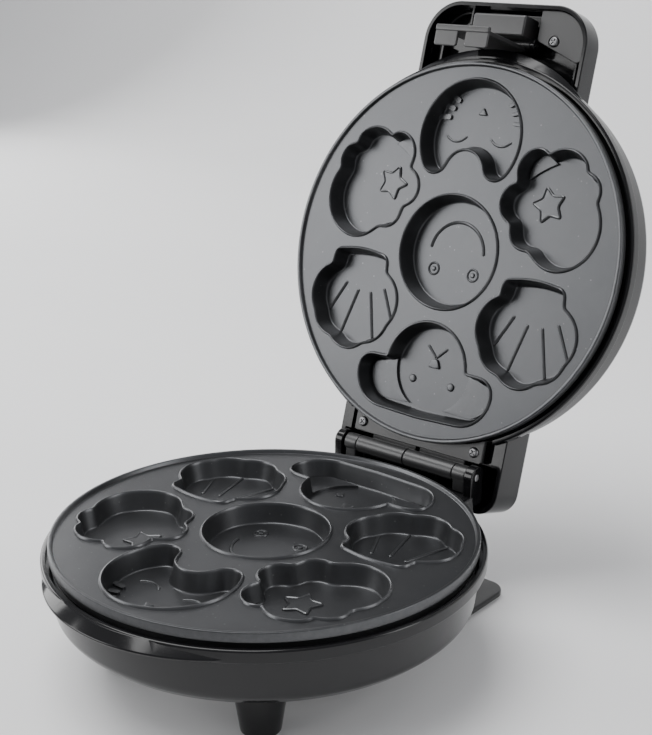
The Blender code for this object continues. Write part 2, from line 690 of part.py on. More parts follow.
def leg(name, side):
    """A tapered front leg."""
    return disc(name, LEG_LOW_R, -FLOOR_DEPTH + PAD_T + FIT, -BASE_DEPTH - FIT, (side * LEG_X, LEG_Y),
                top_radius=LEG_TOP_R)


def rear_foot():
    """The wide flat foot behind, on its column."""
    low = -FLOOR_DEPTH + PAD_T + FIT
    plate = prism("rear_foot", rounded([(-FOOT_W, FOOT_FRONT, FOOT_CORNER), (FOOT_W, FOOT_FRONT, FOOT_CORNER),
                                        (FOOT_W, FOOT_END, FOOT_CORNER), (-FOOT_W, FOOT_END, FOOT_CORNER)]),
                  low, low + FOOT_T)
    column = [(rounded([(-w, FOOT_FRONT + 2, 4), (w, FOOT_FRONT + 2, 4), (w, BASE_FLAT_R - 3, 4),
                        (-w, BASE_FLAT_R - 3, 4)], 4), z)
              for w, z in ((34, low + 1), (28, -BASE_DEPTH - FIT))]
    return join(plate, loft("column", column))


def pad(name, at, radius):
    """A rubber pad under a foot."""
    return disc(name, radius - 0.6, -FLOOR_DEPTH, -FLOOR_DEPTH + PAD_T, at, top_radius=radius)


# ---- the machine ------------------------------------------------------------------------------------------

for old in list(bpy.data.objects):
    bpy.data.objects.remove(old)

BODY_ORIGINS = {
    "base": Vector((0, 0, 0)),
    "lid": Vector((0, HINGE_Y, HINGE_Z)),
    "latch": Vector((0, LATCH_PIN_Y, LATCH_PIN_Z)),
}
EMPTIES = {}
for body, above in (("base", None), ("lid", "base"), ("latch", "lid")):
    empty = bpy.data.objects.new(body + "_frame", None)
    bpy.context.collection.objects.link(empty)
    empty.parent = EMPTIES.get(above)
    start = BODY_ORIGINS[above] if above else Vector((0, -BODY_Y, -FLOOR_DEPTH))
    empty.location = (BODY_ORIGINS[body] - start) * MM
    EMPTIES[body] = empty
EMPTIES["lid"].rotation_euler.x = -OPEN

finish(lower_housing(), "base", BLACK_GLOSS)
finish(bottom_cover(), "base", BLACK_SATIN)
for number, place in enumerate(cover_screw_places(), 1):
    finish(screw(f"cover_screw_{number}", place, -BASE_DEPTH - 2 * FIT - BOTTOM_T), "base", STEEL)
finish(cooking_plate("lower_cooking_plate"), "base", NON_STICK)
finish(heating_element("lower_heating_element"), "base", DARK_STEEL)
finish(heat_shield("lower_heat_shield"), "base", ALUMINIUM)
cup_back = -CUP_DEPTH - CUP_WALL - FIT
finish(disc("thermostat", 8, cup_back - 8, cup_back), "base", ALUMINIUM)
finish(box("thermal_fuse", (14, 26), (-2, 2), (cup_back - 4, cup_back)), "base", CERAMIC)
finish(box("terminal_block", (-18, 18), (60, 72), (-BASE_DEPTH + WALL_T + FIT, -26)), "base", CERAMIC)
finish(rod("hinge_pin", PIN_R, (-BLOCK_W + 0.5, BLOCK_W - 0.5), (HINGE_Y, HINGE_Z)), "base", STEEL)
finish(cord_gland(), "base", BLACK_SATIN)
finish(rear_foot(), "base", BLACK_GLOSS)
for side, word in ((-1, "left"), (1, "right")):
    finish(leg(f"front_leg_{word}", side), "base", BLACK_GLOSS)
    finish(pad(f"front_pad_{word}", (side * LEG_X, LEG_Y), LEG_LOW_R - 0.5), "base", RUBBER)
    finish(pad(f"rear_pad_{word}", (side * (FOOT_W - 12), FOOT_END - 12), 7.5), "base", RUBBER)
    finish(knuckle(f"hinge_knuckle_{word}", side), "base", BLACK_SATIN)
    finish(barrel(f"hinge_barrel_{word}", side), "lid", BLACK_SATIN)
    finish(screw(f"bracket_screw_{word}", (side * BRACKET_SCREW_X, BRACKET_SCREW_Y), BRACKET_LOW - FIT),
           "lid", DARK_STEEL)

finish(lid_housing(), "lid", BLACK_GLOSS)
finish(lid_bracket(), "lid", BLACK_SATIN)
finish(turn_over(cooking_plate("upper_cooking_plate")), "lid", NON_STICK)
finish(turn_over(heating_element("upper_heating_element")), "lid", DARK_STEEL)
finish(turn_over(heat_shield("upper_heat_shield")), "lid", ALUMINIUM)
finish(handle(), "lid", BLACK_GLOSS)
finish(handle_cover(), "lid", BLACK_SATIN)
finish(screw("handle_cover_screw", COVER_SCREW_AT, HANDLE_LOW + COVER_IN - FIT), "lid", DARK_STEEL)
finish(lens("power_lens", LENS_X[0]), "lid", RED_LENS)
finish(lens("ready_lens", LENS_X[1]), "lid", GREEN_LENS)
pin_end = LATCH_W + FIT + EAR_T
finish(rod("latch_pin", LATCH_PIN_R, (-pin_end - 6, pin_end), (LATCH_PIN_Y, LATCH_PIN_Z)), "lid", STEEL)
finish(latch_spring(), "lid", STEEL)
finish(latch(), "latch", BLACK_SATIN)
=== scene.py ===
import json
import math

import bmesh
import bpy
from mathutils import Matrix, Vector


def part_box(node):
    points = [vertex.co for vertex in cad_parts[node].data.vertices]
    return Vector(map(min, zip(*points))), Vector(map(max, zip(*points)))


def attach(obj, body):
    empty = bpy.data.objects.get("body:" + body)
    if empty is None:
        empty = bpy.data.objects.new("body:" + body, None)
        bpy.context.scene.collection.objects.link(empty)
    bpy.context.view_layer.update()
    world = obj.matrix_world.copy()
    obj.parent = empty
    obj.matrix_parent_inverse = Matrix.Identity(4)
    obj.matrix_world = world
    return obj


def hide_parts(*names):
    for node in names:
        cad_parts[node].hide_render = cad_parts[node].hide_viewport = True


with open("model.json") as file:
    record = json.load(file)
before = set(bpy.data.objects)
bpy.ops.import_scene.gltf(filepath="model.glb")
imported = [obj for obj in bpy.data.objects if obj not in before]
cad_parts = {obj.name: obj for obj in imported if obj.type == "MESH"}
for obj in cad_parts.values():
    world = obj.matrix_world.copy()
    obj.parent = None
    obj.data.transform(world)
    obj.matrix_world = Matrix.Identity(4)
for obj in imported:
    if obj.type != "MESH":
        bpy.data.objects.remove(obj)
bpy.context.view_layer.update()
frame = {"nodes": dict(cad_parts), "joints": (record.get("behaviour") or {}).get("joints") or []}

# ---- Camera ----
# A short telephoto view from the front right corner, a little above the open machine. The camera leans
# very slightly to one side, and its picture is shifted so that the upright lines stay upright.

EYE = Vector((0.4041, -0.4915, 0.3400))
LOOK_AT = Vector((-0.0117, 0.0350, 0.1400))
LEAN = math.radians(0.64)
camera_data = bpy.data.cameras.new("camera")
camera_data.lens = 66.6
camera_data.sensor_width = 36.0
camera_data.shift_x = -0.0458
camera_data.shift_y = -0.0442
camera = bpy.data.objects.new("camera", camera_data)
bpy.context.scene.collection.objects.link(camera)
aim = (LOOK_AT - EYE).to_track_quat("-Z", "Y").to_matrix().to_4x4()
camera.matrix_world = Matrix.Translation(EYE) @ aim @ Matrix.Rotation(LEAN, 4, "Z")
bpy.context.scene.camera = camera

# ---- Floor and studio light ----
# A pale floor that rises into a wall behind the machine and darkens out of sight in front of it, so that
# the gloss stays black. Four soft boxes light it: one overhead, one in front, and one on each side.

FLOOR_HALF = 2.2
WALL_BACK = 1.6
DARK_FROM = -0.5         # the floor is fully dark from here on
PALE_FROM = -0.14        # and fully pale from here to the wall
floor_bm = bmesh.new()
edge = [floor_bm.verts.new((-FLOOR_HALF, y, z)) for y, z in
        [(-FLOOR_HALF, 0.0)] + [(WALL_BACK - 0.6 + 0.6 * math.sin(t), 0.6 - 0.6 * math.cos(t))
                                for t in [math.radians(9 * i) for i in range(11)]] + [(WALL_BACK, 2.6)]]
edge = [floor_bm.edges.new(pair) for pair in zip(edge, edge[1:])]
swept = bmesh.ops.extrude_edge_only(floor_bm, edges=edge)["geom"]
bmesh.ops.translate(floor_bm, verts=[v for v in swept if isinstance(v, bmesh.types.BMVert)],
                    vec=(2 * FLOOR_HALF, 0, 0))
bmesh.ops.recalc_face_normals(floor_bm, faces=floor_bm.faces)
floor_mesh = bpy.data.meshes.new("floor")
floor_bm.to_mesh(floor_mesh)
floor_bm.free()
floor_mesh.shade_smooth()
floor = bpy.data.objects.new("floor", floor_mesh)
bpy.context.scene.collection.objects.link(floor)


def node(tree, kind, settings=None, **inputs):
    """A node with its settings, and with inputs given as numbers or as sockets to link from."""
    made = tree.nodes.new(kind)
    for key, value in (settings or {}).items():
        setattr(made, key, value)
    for key, value in inputs.items():
        target = made.inputs[key.replace("_", " ")]
        if isinstance(value, bpy.types.NodeSocket):
            tree.links.new(value, target)
        else:
            target.default_value = value
    return made


def noise(tree, where, scale, detail=2.0, roughness=0.5):
    """A noise texture's value at object coordinates, its scale in cells per metre."""
    made = node(tree, "ShaderNodeTexNoise", Vector=where, Scale=scale, Detail=detail, Roughness=roughness)
    return made.outputs["Fac"]


def mixed(tree, mask, first, second):
    """A colour between two, by a mask."""
    made = node(tree, "ShaderNodeMix", {"data_type": "RGBA"})
    for socket, value in zip([s for s in made.inputs if s.type == "RGBA"], (first, second)):
        if isinstance(value, bpy.types.NodeSocket):
            tree.links.new(value, socket)
        else:
            socket.default_value = (*value, 1)
    tree.links.new(mask, made.inputs[0])
    return next(s for s in made.outputs if s.type == "RGBA")


def new_look(name, **constants):
    """A material with its Principled shader and the sockets that are the same all over."""
    made = bpy.data.materials.new(name)
    made.use_nodes = True
    shader = made.node_tree.nodes["Principled BSDF"]
    for key, value in constants.items():
        shader.inputs[key.replace("_", " ")].default_value = value
    return made, made.node_tree, shader


def paper_look():
    """Pale backdrop paper with a slight cloudiness, fading to dark in front."""
    made, tree, shader = new_look("pale_paper", Roughness=0.9, Specular_IOR_Level=0.1)
    where = tree.nodes.new("ShaderNodeTexCoord").outputs["Object"]
    clouds = mixed(tree, noise(tree, where, 3.0), (0.86, 0.86, 0.865), (0.92, 0.92, 0.92))
    forward = node(tree, "ShaderNodeSeparateXYZ", Vector=where).outputs["Y"]
    fade = node(tree, "ShaderNodeMapRange", {"interpolation_type": "SMOOTHSTEP"}, Value=forward,
                From_Min=DARK_FROM, From_Max=PALE_FROM)
    colour = mixed(tree, fade.outputs["Result"], (0.03, 0.03, 0.031), clouds)
    tree.links.new(colour, shader.inputs["Base Color"])
    return made


floor_mesh.materials.append(paper_look())

world = bpy.data.worlds.new("studio")
world.use_nodes = True
world.node_tree.nodes["Background"].inputs["Color"].default_value = (0.95, 0.96, 1.0, 1)
world.node_tree.nodes["Background"].inputs["Strength"].default_value = 0.4
bpy.context.scene.world = world


def soft_box(name, at, towards, width, height, power):
    """A rectangular area light that faces a point."""
    data = bpy.data.lights.new(name, "AREA")
    data.shape = "RECTANGLE"
    data.size = width
    data.size_y = height
    data.energy = power
    lamp = bpy.data.objects.new(name, data)
    bpy.context.scene.collection.objects.link(lamp)
    lamp.location = at
    lamp.rotation_euler = (Vector(towards) - Vector(at)).to_track_quat("-Z", "Y").to_euler()


soft_box("top_box", (-0.45, -0.35, 1.7), (0, 0, 0.1), 1.3, 1.3, 30)
soft_box("front_box", (-1.35, -1.35, 0.7), (0, 0.0, 0.15), 1.2, 0.9, 17)
soft_box("left_box", (-1.6, 0.25, 0.55), (-0.1, 0, 0.08), 1.4, 0.6, 13)
soft_box("right_box", (1.5, 0.5, 0.7), (0, 0.1, 0.15), 0.5, 1.3, 9)

# ---- Drawing place ----
# Every piece is drawn in millimetres with the lid shut, about the middle of the lower plate's face, with
# +Z up and the front at -Y. A base piece goes straight to its place; a lid or latch piece is swung open
# about the hinge.

MM = 0.001
LIP_H = 1.8
plate_low, plate_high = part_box("lower_cooking_plate")
face_centre = Vector((0, (plate_low.y + plate_high.y) / 2, plate_high.z - LIP_H * MM))
lid_joint = next(joint for joint in frame["joints"] if joint["child"] == "lid")
hinge_at = Vector(lid_joint["pos_m"])
swing = Matrix.Rotation(-math.radians(lid_joint["range_deg"][1]), 4, "X")
PLACE = {"base": Matrix.Translation(face_centre) @ Matrix.Scale(MM, 4)}
PLACE["lid"] = Matrix.Translation(hinge_at) @ swing @ Matrix.Translation(-hinge_at) @ PLACE["base"]
PLACE["latch"] = PLACE["lid"]


def drawn(point, body="base"):
    """A point of the frame in the drawing's millimetres, with its body's swing taken out."""
    return PLACE[body].inverted() @ Vector(point)


def settle(bm, name, body, look, stands_for=(), crease=32.0):
    """Makes a drawn bmesh a finished piece: placed, on its body, with its finish and what it stands for."""
    bmesh.ops.transform(bm, matrix=PLACE[body], verts=bm.verts)
    mesh = bpy.data.meshes.new(name)
    bm.to_mesh(mesh)
    bm.free()
    mesh.shade_smooth()
    mesh.set_sharp_from_angle(angle=math.radians(crease))
    mesh.materials.append(look)
    made = bpy.data.objects.new(name, mesh)
    bpy.context.scene.collection.objects.link(made)
    weighted = made.modifiers.new("level shading", "WEIGHTED_NORMAL")
    weighted.keep_sharp = True
    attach(made, body)
    if stands_for:
        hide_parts(*stands_for)
    return made


# ---- Cooking plates ----
# Two die-cast aluminium plates with a dark non-stick coating, each with seven moulded cups inside thin
# raised rims and a raised lip round its edge. The upper plate is the lower one's mirror image, so that
# the halves meet.

PLATE_R = (plate_high.x - plate_low.x) / 2 / MM
PLATE_T = 3.0
LIP_T = 2.0
SKIRT_DEPTH = 7.0
SKIRT_T = 3.0
SHUT_GAP = 4.0
CUP_DEPTH = 9.0
CUP_DRAFT = 2.2
CUP_WALL = 1.6
CUP_SPACING = 1.3        # between the points of a cup's outline
RIM_WIDE = 1.4
RIM_HIGH = 1.2
SIDE_CUP_X = 56.2
BACK_CUP_Y = 35.0
FRONT_CUP_Y = -31.0
FACE_CUP_Y = -62.0
HEAD_CUP_Y = 64.0


def arc(centre, radius, start, end, step=CUP_SPACING):
    """Points along an arc, both ends included, angles in degrees."""
    count = max(4, round(abs(math.radians(end - start)) * radius / step))
    turns = [math.radians(start + (end - start) * i / count) for i in range(count + 1)]
    return [Vector((centre[0] + radius * math.cos(t), centre[1] + radius * math.sin(t))) for t in turns]


def arc_through(start, middle, end, step=CUP_SPACING):
    """Points along the arc through three points, both ends included."""
    a, b, c = Vector(start), Vector(middle), Vector(end)
    d = 2 * ((a - c).x * (b - c).y - (b - c).x * (a - c).y)
    p, q = (a - c).length_squared, (b - c).length_squared
    centre = Vector((p * (b - c).y - q * (a - c).y, q * (a - c).x - p * (b - c).x)) / d + c
    first, mid, last = [math.atan2(*(v - centre).yx) for v in (a, b, c)]
    turn = math.remainder(mid - first, math.tau) + math.remainder(last - mid, math.tau)
    return arc(centre, (a - centre).length, math.degrees(first), math.degrees(first + turn), step)


def even(outline, spacing=CUP_SPACING):
    """The closed outline with its points spread evenly along it."""
    runs = [(outline[(i + 1) % len(outline)] - outline[i]).length for i in range(len(outline))]
    count = round(sum(runs) / spacing)
    points, i, walked = [], 0, 0.0
    for k in range(count):
        target = k * sum(runs) / count
        while walked + runs[i] < target:
            walked += runs[i]
            i += 1
        share = (target - walked) / runs[i]
        points.append(outline[i].lerp(outline[(i + 1) % len(outline)], share))
    return points


def relaxed(outline, passes):
    """The closed outline with its corners eased."""
    for _ in range(passes):
        outline = [(outline[i - 1] + 2 * outline[i] + outline[(i + 1) % len(outline)]) / 4
                   for i in range(len(outline))]
    return outline


def inset(outline, distance):
    """The closed outline moved inwards, or outwards by a negative distance, with tight corners eased."""
    moved = []
    for i, here in enumerate(outline):
        along = (outline[(i + 1) % len(outline)] - outline[i - 1]).normalized()
        moved.append(here + Vector((-along.y, along.x)) * distance)
    return relaxed(moved, round(abs(distance)))


def mirrored(outline):
    """The outline's mirror image across the middle."""
    return [Vector((-p.x, p.y)) for p in reversed(outline)]


def shifted(outline, x, y):
    """The outline moved to another centre."""
    return [p + Vector((x, y)) for p in outline]


def face_cup():
    """A round head whose top dips between two rounded horns."""
    horn_r, horn_x, horn_y = 7.3, 19.5, 13.5
    dip_r, dip_y = 12.95, 18.95
    reach = math.degrees(math.atan2(horn_y, horn_x))
    meet = math.degrees(math.atan2(horn_y - dip_y, horn_x))
    points = arc((0, 0), horn_r + math.hypot(horn_x, horn_y), 180 - reach, 360 + reach)
    points += arc((horn_x, horn_y), horn_r, reach, 180 + meet)[1:]
    points += arc((0, dip_y), dip_r, meet, -180 - meet)[1:]
    points += arc((-horn_x, horn_y), horn_r, -meet, 180 - reach)[1:-1]
    return points


def head_cup():
    """A round head with a wide rounded ear on each side."""
    head_r, ear_low, ear_w, ear_top = 25.0, -1.5, 43.0, 25.0
    points = arc((0, 0), head_r, 184, 356)
    points += arc((ear_w - 8, ear_low + 8), 8, -90, 0)
    points += arc((ear_w - 18, ear_top - 18), 18, 0, 90)[1:]
    points += [Vector((0, ear_top + 1))]
    points += arc((18 - ear_w, ear_top - 18), 18, 90, 180)
    points += arc((8 - ear_w, ear_low + 8), 8, 180, 270)[1:]
    return points


def shell_cup():
    """A scallop shell: five lobes over a narrow foot."""
    points = arc_through((11, 22.5), (0, 27.5), (-11, 22.5))
    points += arc_through((-11, 22.5), (-19.8, 19), (-25, 10.5))[1:]
    points += arc_through((-25, 10.5), (-29.3, -1), (-18.5, -17))[1:]
    points += arc_through((-18, -22.5), (-17, -25.5), (-13.5, -26.5))
    points += arc_through((-13.5, -26.5), (0, -28), (13.5, -26.5))[1:]
    points += arc_through((13.5, -26.5), (17, -25.5), (18, -22.5))[1:]
    points += arc_through((18.5, -17), (29.3, -1), (25, 10.5))
    points += arc_through((25, 10.5), (19.8, 19), (11, 22.5))[1:-1]
    return points


def star_cup():
    """A cloud-edged treat with one big lobe and a small tab."""
    points = arc_through((12, 30.5), (2, 29.5), (-4, 25.5))
    points += arc_through((-8, 22.5), (-15.5, 21.5), (-20, 14.5))
    points += arc_through((-21, 10), (-29, 2), (-21.5, -10))
    points += arc_through((-21, -12), (-20.5, -24), (-13, -29))
    points += arc_through((-13, -29), (-10, -29), (-6, -26))[1:]
    points += arc_through((-6, -26), (8, -30), (16, -24.5))[1:]
    points += arc_through((17, -20), (24.5, -16), (25, -6))
    points += arc_through((25, -6), (29.5, 12), (12, 30.5))[1:-1]
    return points


def ring(bm, outline, z):
    """A closed loop of edges at one height."""
    verts = [bm.verts.new((p.x, p.y, z)) for p in outline]
    return [bm.edges.new((verts[i - 1], verts[i])) for i in range(len(verts))]


def walls(bm, loops):
    """Faces between each loop and the next."""
    for low, high in zip(loops, loops[1:]):
        bmesh.ops.bridge_loops(bm, edges=low + high)


def filled(bm, *loops):
    """A flat face inside the first loop, open where the others are."""
    edges = [edge for loop in loops for edge in loop]
    bmesh.ops.triangle_fill(bm, use_beauty=True, use_dissolve=False, edges=edges)


def bead(bm, path, width, closed=False, height=0.8):
    """A raised round line along a path on a cup's floor, sunk halfway in, with rounded ends."""
    if not closed:
        run = (path[1] - path[0]).normalized() * width / 2
        end = (path[-1] - path[-2]).normalized() * width / 2
        before = [path[0] - run * s for s in (1, 0.87, 0.5)]
        path = before + path + [path[-1] + end * s for s in (0.5, 0.87, 1)]
    curve = bpy.data.curves.new("bead", "CURVE")
    curve.dimensions = "3D"
    curve.bevel_depth = width / 2
    curve.bevel_resolution = 2
    curve.use_fill_caps = True
    spline = curve.splines.new("POLY")
    spline.use_cyclic_u = closed
    spline.points.add(len(path) - 1)
    for i, (point, at) in enumerate(zip(spline.points, path)):
        point.co = (at.x, at.y, 0, 1)
        edge_step = min(i, len(path) - 1 - i)
        point.radius = 1.0 if closed else (0.08, 0.5, 0.87, 1.0)[min(edge_step, 3)]
    holder = bpy.data.objects.new("bead", curve)
    bpy.context.scene.collection.objects.link(holder)
    mesh = bpy.data.meshes.new_from_object(holder.evaluated_get(bpy.context.evaluated_depsgraph_get()))
    mesh.transform(Matrix.Translation((0, 0, -CUP_DEPTH)) @ Matrix.Diagonal((1, 1, height, 1)))
    bm.from_mesh(mesh)
    bpy.data.objects.remove(holder)


def raised(bm, outline, height, eased=0.6):
    """A flat-topped shape that stands on a cup's floor."""
    top = height - CUP_DEPTH
    steps = [(0, -CUP_DEPTH - 0.8), (0, -CUP_DEPTH), (eased * 0.15, top - eased * 0.6),
             (eased * 0.45, top - eased * 0.2), (eased, top)]
    loops = [ring(bm, inset(outline, inwards), z) for inwards, z in steps]
    walls(bm, loops)
    filled(bm, loops[0])
    filled(bm, loops[-1])


def star(centre, outer, inner, tip):
    """A five-pointed star with eased corners; its first tip points at `tip` degrees."""
    corners = [Vector(centre) + Vector((math.cos(t), math.sin(t))) * (inner if i % 2 else outer)
               for i, t in enumerate(math.radians(tip + 36 * k) for k in range(10))]
    return relaxed(even(corners, 0.7), 3)


def smile_relief(bm):
    """Two ringed eyes and a wide smile for the round cup."""
    for side in (-1, 1):
        bead(bm, arc((side * 12.7, 10), 3.2, 0, 360, 0.7)[:-1], 1.3, closed=True)
        raised(bm, arc((side * 12.7, 10), 1.4, 0, 360, 0.5)[:-1], 0.7, 0.5)
    bead(bm, arc((0, 0), 17, 187, 353, 1.0), 1.9)


def sleepy_relief(bm, x, y):
    """Closed eyes, a small nose and three whiskers on each cheek."""
    whiskers = (((20, -10.8), (30, -10.2)), ((18.2, -15.4), (27.2, -18)), ((15.8, -19.6), (22.6, -24)))
    for side in (-1, 1):
        eye = arc_through((side * 20.3, -0.5), (side * 14, 2), (side * 8, -1), 0.8)
        bead(bm, shifted(eye, x, y), 1.3)
        for inner, outer in whiskers:
            start, end = Vector((side * inner[0], inner[1])), Vector((side * outer[0], outer[1]))
            across = (end - start).orthogonal().normalized() * 1.1
            bar = [start + across, end + across, end - across, start - across]
            bar = relaxed(even(bar if side < 0 else bar[::-1], 0.5), 3)
            raised(bm, shifted(bar, x, y), 1.3, 0.3)
    nose = even([Vector((-3, -13.4)), Vector((0, -18)), Vector((3, -13.4))], 0.6)
    raised(bm, shifted(relaxed(nose, 3), x, y), 1.0)


def bear_relief(bm, x, y):
    """Round eyes, a soft nose, a forked mouth and ears that stand a step above the face."""
    for side in (-1, 1):
        raised(bm, shifted(arc((side * 12.6, 7.3), 2.3, 0, 360, 0.6)[:-1], x, y), 1.0, 0.9)
        mouth = [Vector((side * (0.6 + 5.2 * s), -6.9 - 5 * s)) for s in (0, 0.3, 0.7, 1)]
        bead(bm, shifted(mouth, x, y), 1.7)
        inner = arc((0, 0), 23.6, 62, -4, 1.0)
        low = CUP_DRAFT + 1.2
        outer = arc((35, 6.5), 8 - low, -90, 0, 1.0) + arc((25, 7), 18 - low, 0, 78, 1.0)[1:]
        ear = even(inner + outer, 1.0)
        raised(bm, shifted(mirrored(ear) if side < 0 else ear, x, y), 1.6, 0.25)
    nose = even([Vector((-4, -0.6)), Vector((-1.6, -6)), Vector((1.6, -6)), Vector((4, -0.6))], 0.7)
    raised(bm, shifted(relaxed(nose, 4), x, y), 1.3)


def shell_relief(bm, side):
    """Four ribs that fan out over the shell."""
    for foot, tip in (((4.5, -4.6), (11, 19.5)), ((13.5, -7.8), (22, 8.5))):
        for half in (-1, 1):
            start, end = Vector((half * foot[0], foot[1])), Vector((half * tip[0], tip[1]))
            line = [start.lerp(end, share) for share in (0, 0.3, 0.7, 1)]
            bead(bm, shifted(line, side * SIDE_CUP_X, BACK_CUP_Y), 1.9)


def star_relief(bm, side):
    """A low star in the big lobe, and a small tab that stands a step above the floor."""
    tab = arc_through((-19.6, -13.4), (-10, -20.6), (-3.5, -24), 0.6)[:-1]
    tab += [Vector(at) for at in ((-6.6, -25.2), (-10, -27.6), (-13.5, -27.2), (-18.2, -23), (-19.6, -18))]
    for shape, height in ((star((-5.6, -2), 9.8, 5.2, 180), 0.6), (even(tab[::-1], 0.7), 1.5)):
        made = shifted(shape, SIDE_CUP_X, FRONT_CUP_Y)
        made = mirrored(made) if side < 0 else made
        raised(bm, made, height, 0.25)
        if height < 1:
            bead(bm, made, 1.5, closed=True, height=1.3)


def moved(bm, *matrices):
    """The shape after each matrix in turn."""
    for matrix in matrices:
        bmesh.ops.transform(bm, matrix=matrix, verts=bm.verts)
    return bm


def mirror_up(bm):
    """A shape of the base's side turned over to the shut lid's side."""
    moved(bm, Matrix.Translation((0, 0, SHUT_GAP)) @ Matrix.Diagonal((1, 1, -1, 1)))
    bmesh.ops.reverse_faces(bm, faces=bm.faces)
    return bm


def plate_bmesh():
    """The plate, face up, with its lip, skirt, cups and reliefs as one closed skin and its raised shapes."""
    cups = []
    for outline, x, y in ((arc((0, 0), 30.5, 0, 360)[:-1], 0, 0), (face_cup(), 0, FACE_CUP_Y),
                          (head_cup(), 0, HEAD_CUP_Y), (shell_cup(), SIDE_CUP_X, BACK_CUP_Y),
                          (star_cup(), SIDE_CUP_X, FRONT_CUP_Y)):
        placed = shifted(relaxed(even(outline), 2), x, y)
        cups += [placed, mirrored(placed)] if x else [placed]
    bm = bmesh.new()
    lip_in = PLATE_R - LIP_T
    edge_steps = [(lip_in - 0.5, 0), (lip_in - 0.25, 0.25), (lip_in, LIP_H - 0.5),
                  (lip_in + 0.3, LIP_H - 0.12), (lip_in + 0.7, LIP_H),
                  (PLATE_R - 0.6, LIP_H), (PLATE_R - 0.2, LIP_H - 0.15), (PLATE_R, LIP_H - 0.6),
                  (PLATE_R, 0.3 - PLATE_T), (PLATE_R - 0.3, -PLATE_T), (PLATE_R - 1.6, -PLATE_T),
                  (PLATE_R - 1.6, -SKIRT_DEPTH), (PLATE_R - SKIRT_T, -SKIRT_DEPTH),
                  (PLATE_R - SKIRT_T, -PLATE_T)]
    edge_loops = [ring(bm, arc((0, 0), r, 1, 361, 2.6)[:-1], z) for r, z in edge_steps]
    walls(bm, edge_loops)
    cup_steps = [(-RIM_WIDE, 0), (-RIM_WIDE + 0.25, RIM_HIGH * 0.6), (-RIM_WIDE + 0.6, RIM_HIGH * 0.92),
                 (-RIM_WIDE + 1.0, RIM_HIGH), (-0.15, RIM_HIGH * 0.85), (0.12, RIM_HIGH * 0.4), (0.3, -0.4),
                 (CUP_DRAFT * 0.5, -CUP_DEPTH / 2), (CUP_DRAFT - 0.1, 0.8 - CUP_DEPTH),
                 (CUP_DRAFT + 0.1, 0.35 - CUP_DEPTH), (CUP_DRAFT + 0.4, 0.08 - CUP_DEPTH),
                 (CUP_DRAFT + 0.8, -CUP_DEPTH)]
    feet, backs = [], []
    for outline in cups:
        loops = [ring(bm, inset(outline, inwards), z) for inwards, z in cup_steps]
        walls(bm, loops)
        filled(bm, loops[-1])
        feet.append(loops[0])
        back_steps = [(-CUP_WALL, -PLATE_T), (-CUP_WALL + CUP_DRAFT, -CUP_DEPTH - CUP_WALL)]
        back = [ring(bm, inset(outline, inwards), z) for inwards, z in back_steps]
        walls(bm, back)
        filled(bm, back[-1])
        backs.append(back[0])
    filled(bm, edge_loops[0], *feet)
    filled(bm, edge_loops[-1], *backs)
    smile_relief(bm)
    sleepy_relief(bm, 0, FACE_CUP_Y)
    bear_relief(bm, 0, HEAD_CUP_Y)
    for side in (-1, 1):
        shell_relief(bm, side)
        star_relief(bm, side)
    bmesh.ops.remove_doubles(bm, verts=bm.verts, dist=0.001)
    bmesh.ops.recalc_face_normals(bm, faces=bm.faces)
    return bm


def socket_group(name, inputs, outputs):
    """An empty shader node group with float inputs (name, default) and outputs (name, kind)."""
    group = bpy.data.node_groups.new(name, "ShaderNodeTree")
    for label, default in inputs:
        made = group.interface.new_socket(label, in_out="INPUT", socket_type="NodeSocketFloat")
        made.default_value = default
    for label, kind in outputs:
        group.interface.new_socket(label, in_out="OUTPUT", socket_type=kind)
    return group, group.nodes.new("NodeGroupInput"), group.nodes.new("NodeGroupOutput")


def math_node(tree, operation, a, b=0.0, clamp=False):
    """One arithmetic step."""
    made = tree.nodes.new("ShaderNodeMath")
    made.operation = operation
    made.use_clamp = clamp
    for socket, value in zip(made.inputs, (a, b)):
        if isinstance(value, bpy.types.NodeSocket):
            tree.links.new(value, socket)
        else:
            socket.default_value = value
    return made.outputs[0]


def spread(tree, value, low, high, to_low=0.0, to_high=1.0):
    """A value stretched from one range to another, and kept inside it."""
    made = node(tree, "ShaderNodeMapRange", Value=value)
    for label, number in (("From Min", low), ("From Max", high), ("To Min", to_low), ("To Max", to_high)):
        made.inputs[label].default_value = number
    return made.outputs["Result"]


def grain_group():
    """Fine surface grain: a height for bump, and a mask of scattered pits and specks."""
    group, given, out = socket_group("surface_grain", [("Scale", 1500.0), ("Speck Size", 500.0)],
                                     [("Height", "NodeSocketFloat"), ("Specks", "NodeSocketFloat")])
    where = group.nodes.new("ShaderNodeTexCoord").outputs["Object"]
    fine = noise(group, where, given.outputs["Scale"], 3.0, 0.6)
    cells = node(group, "ShaderNodeTexVoronoi", Vector=where, Scale=given.outputs["Speck Size"])
    picked = spread(group, cells.outputs["Color"], 0.86, 0.9)
    near = spread(group, cells.outputs["Distance"], 0.34, 0.12)
    specks = math_node(group, "MULTIPLY", picked, near)
    group.links.new(fine, out.inputs["Height"])
    group.links.new(specks, out.inputs["Specks"])
    return group


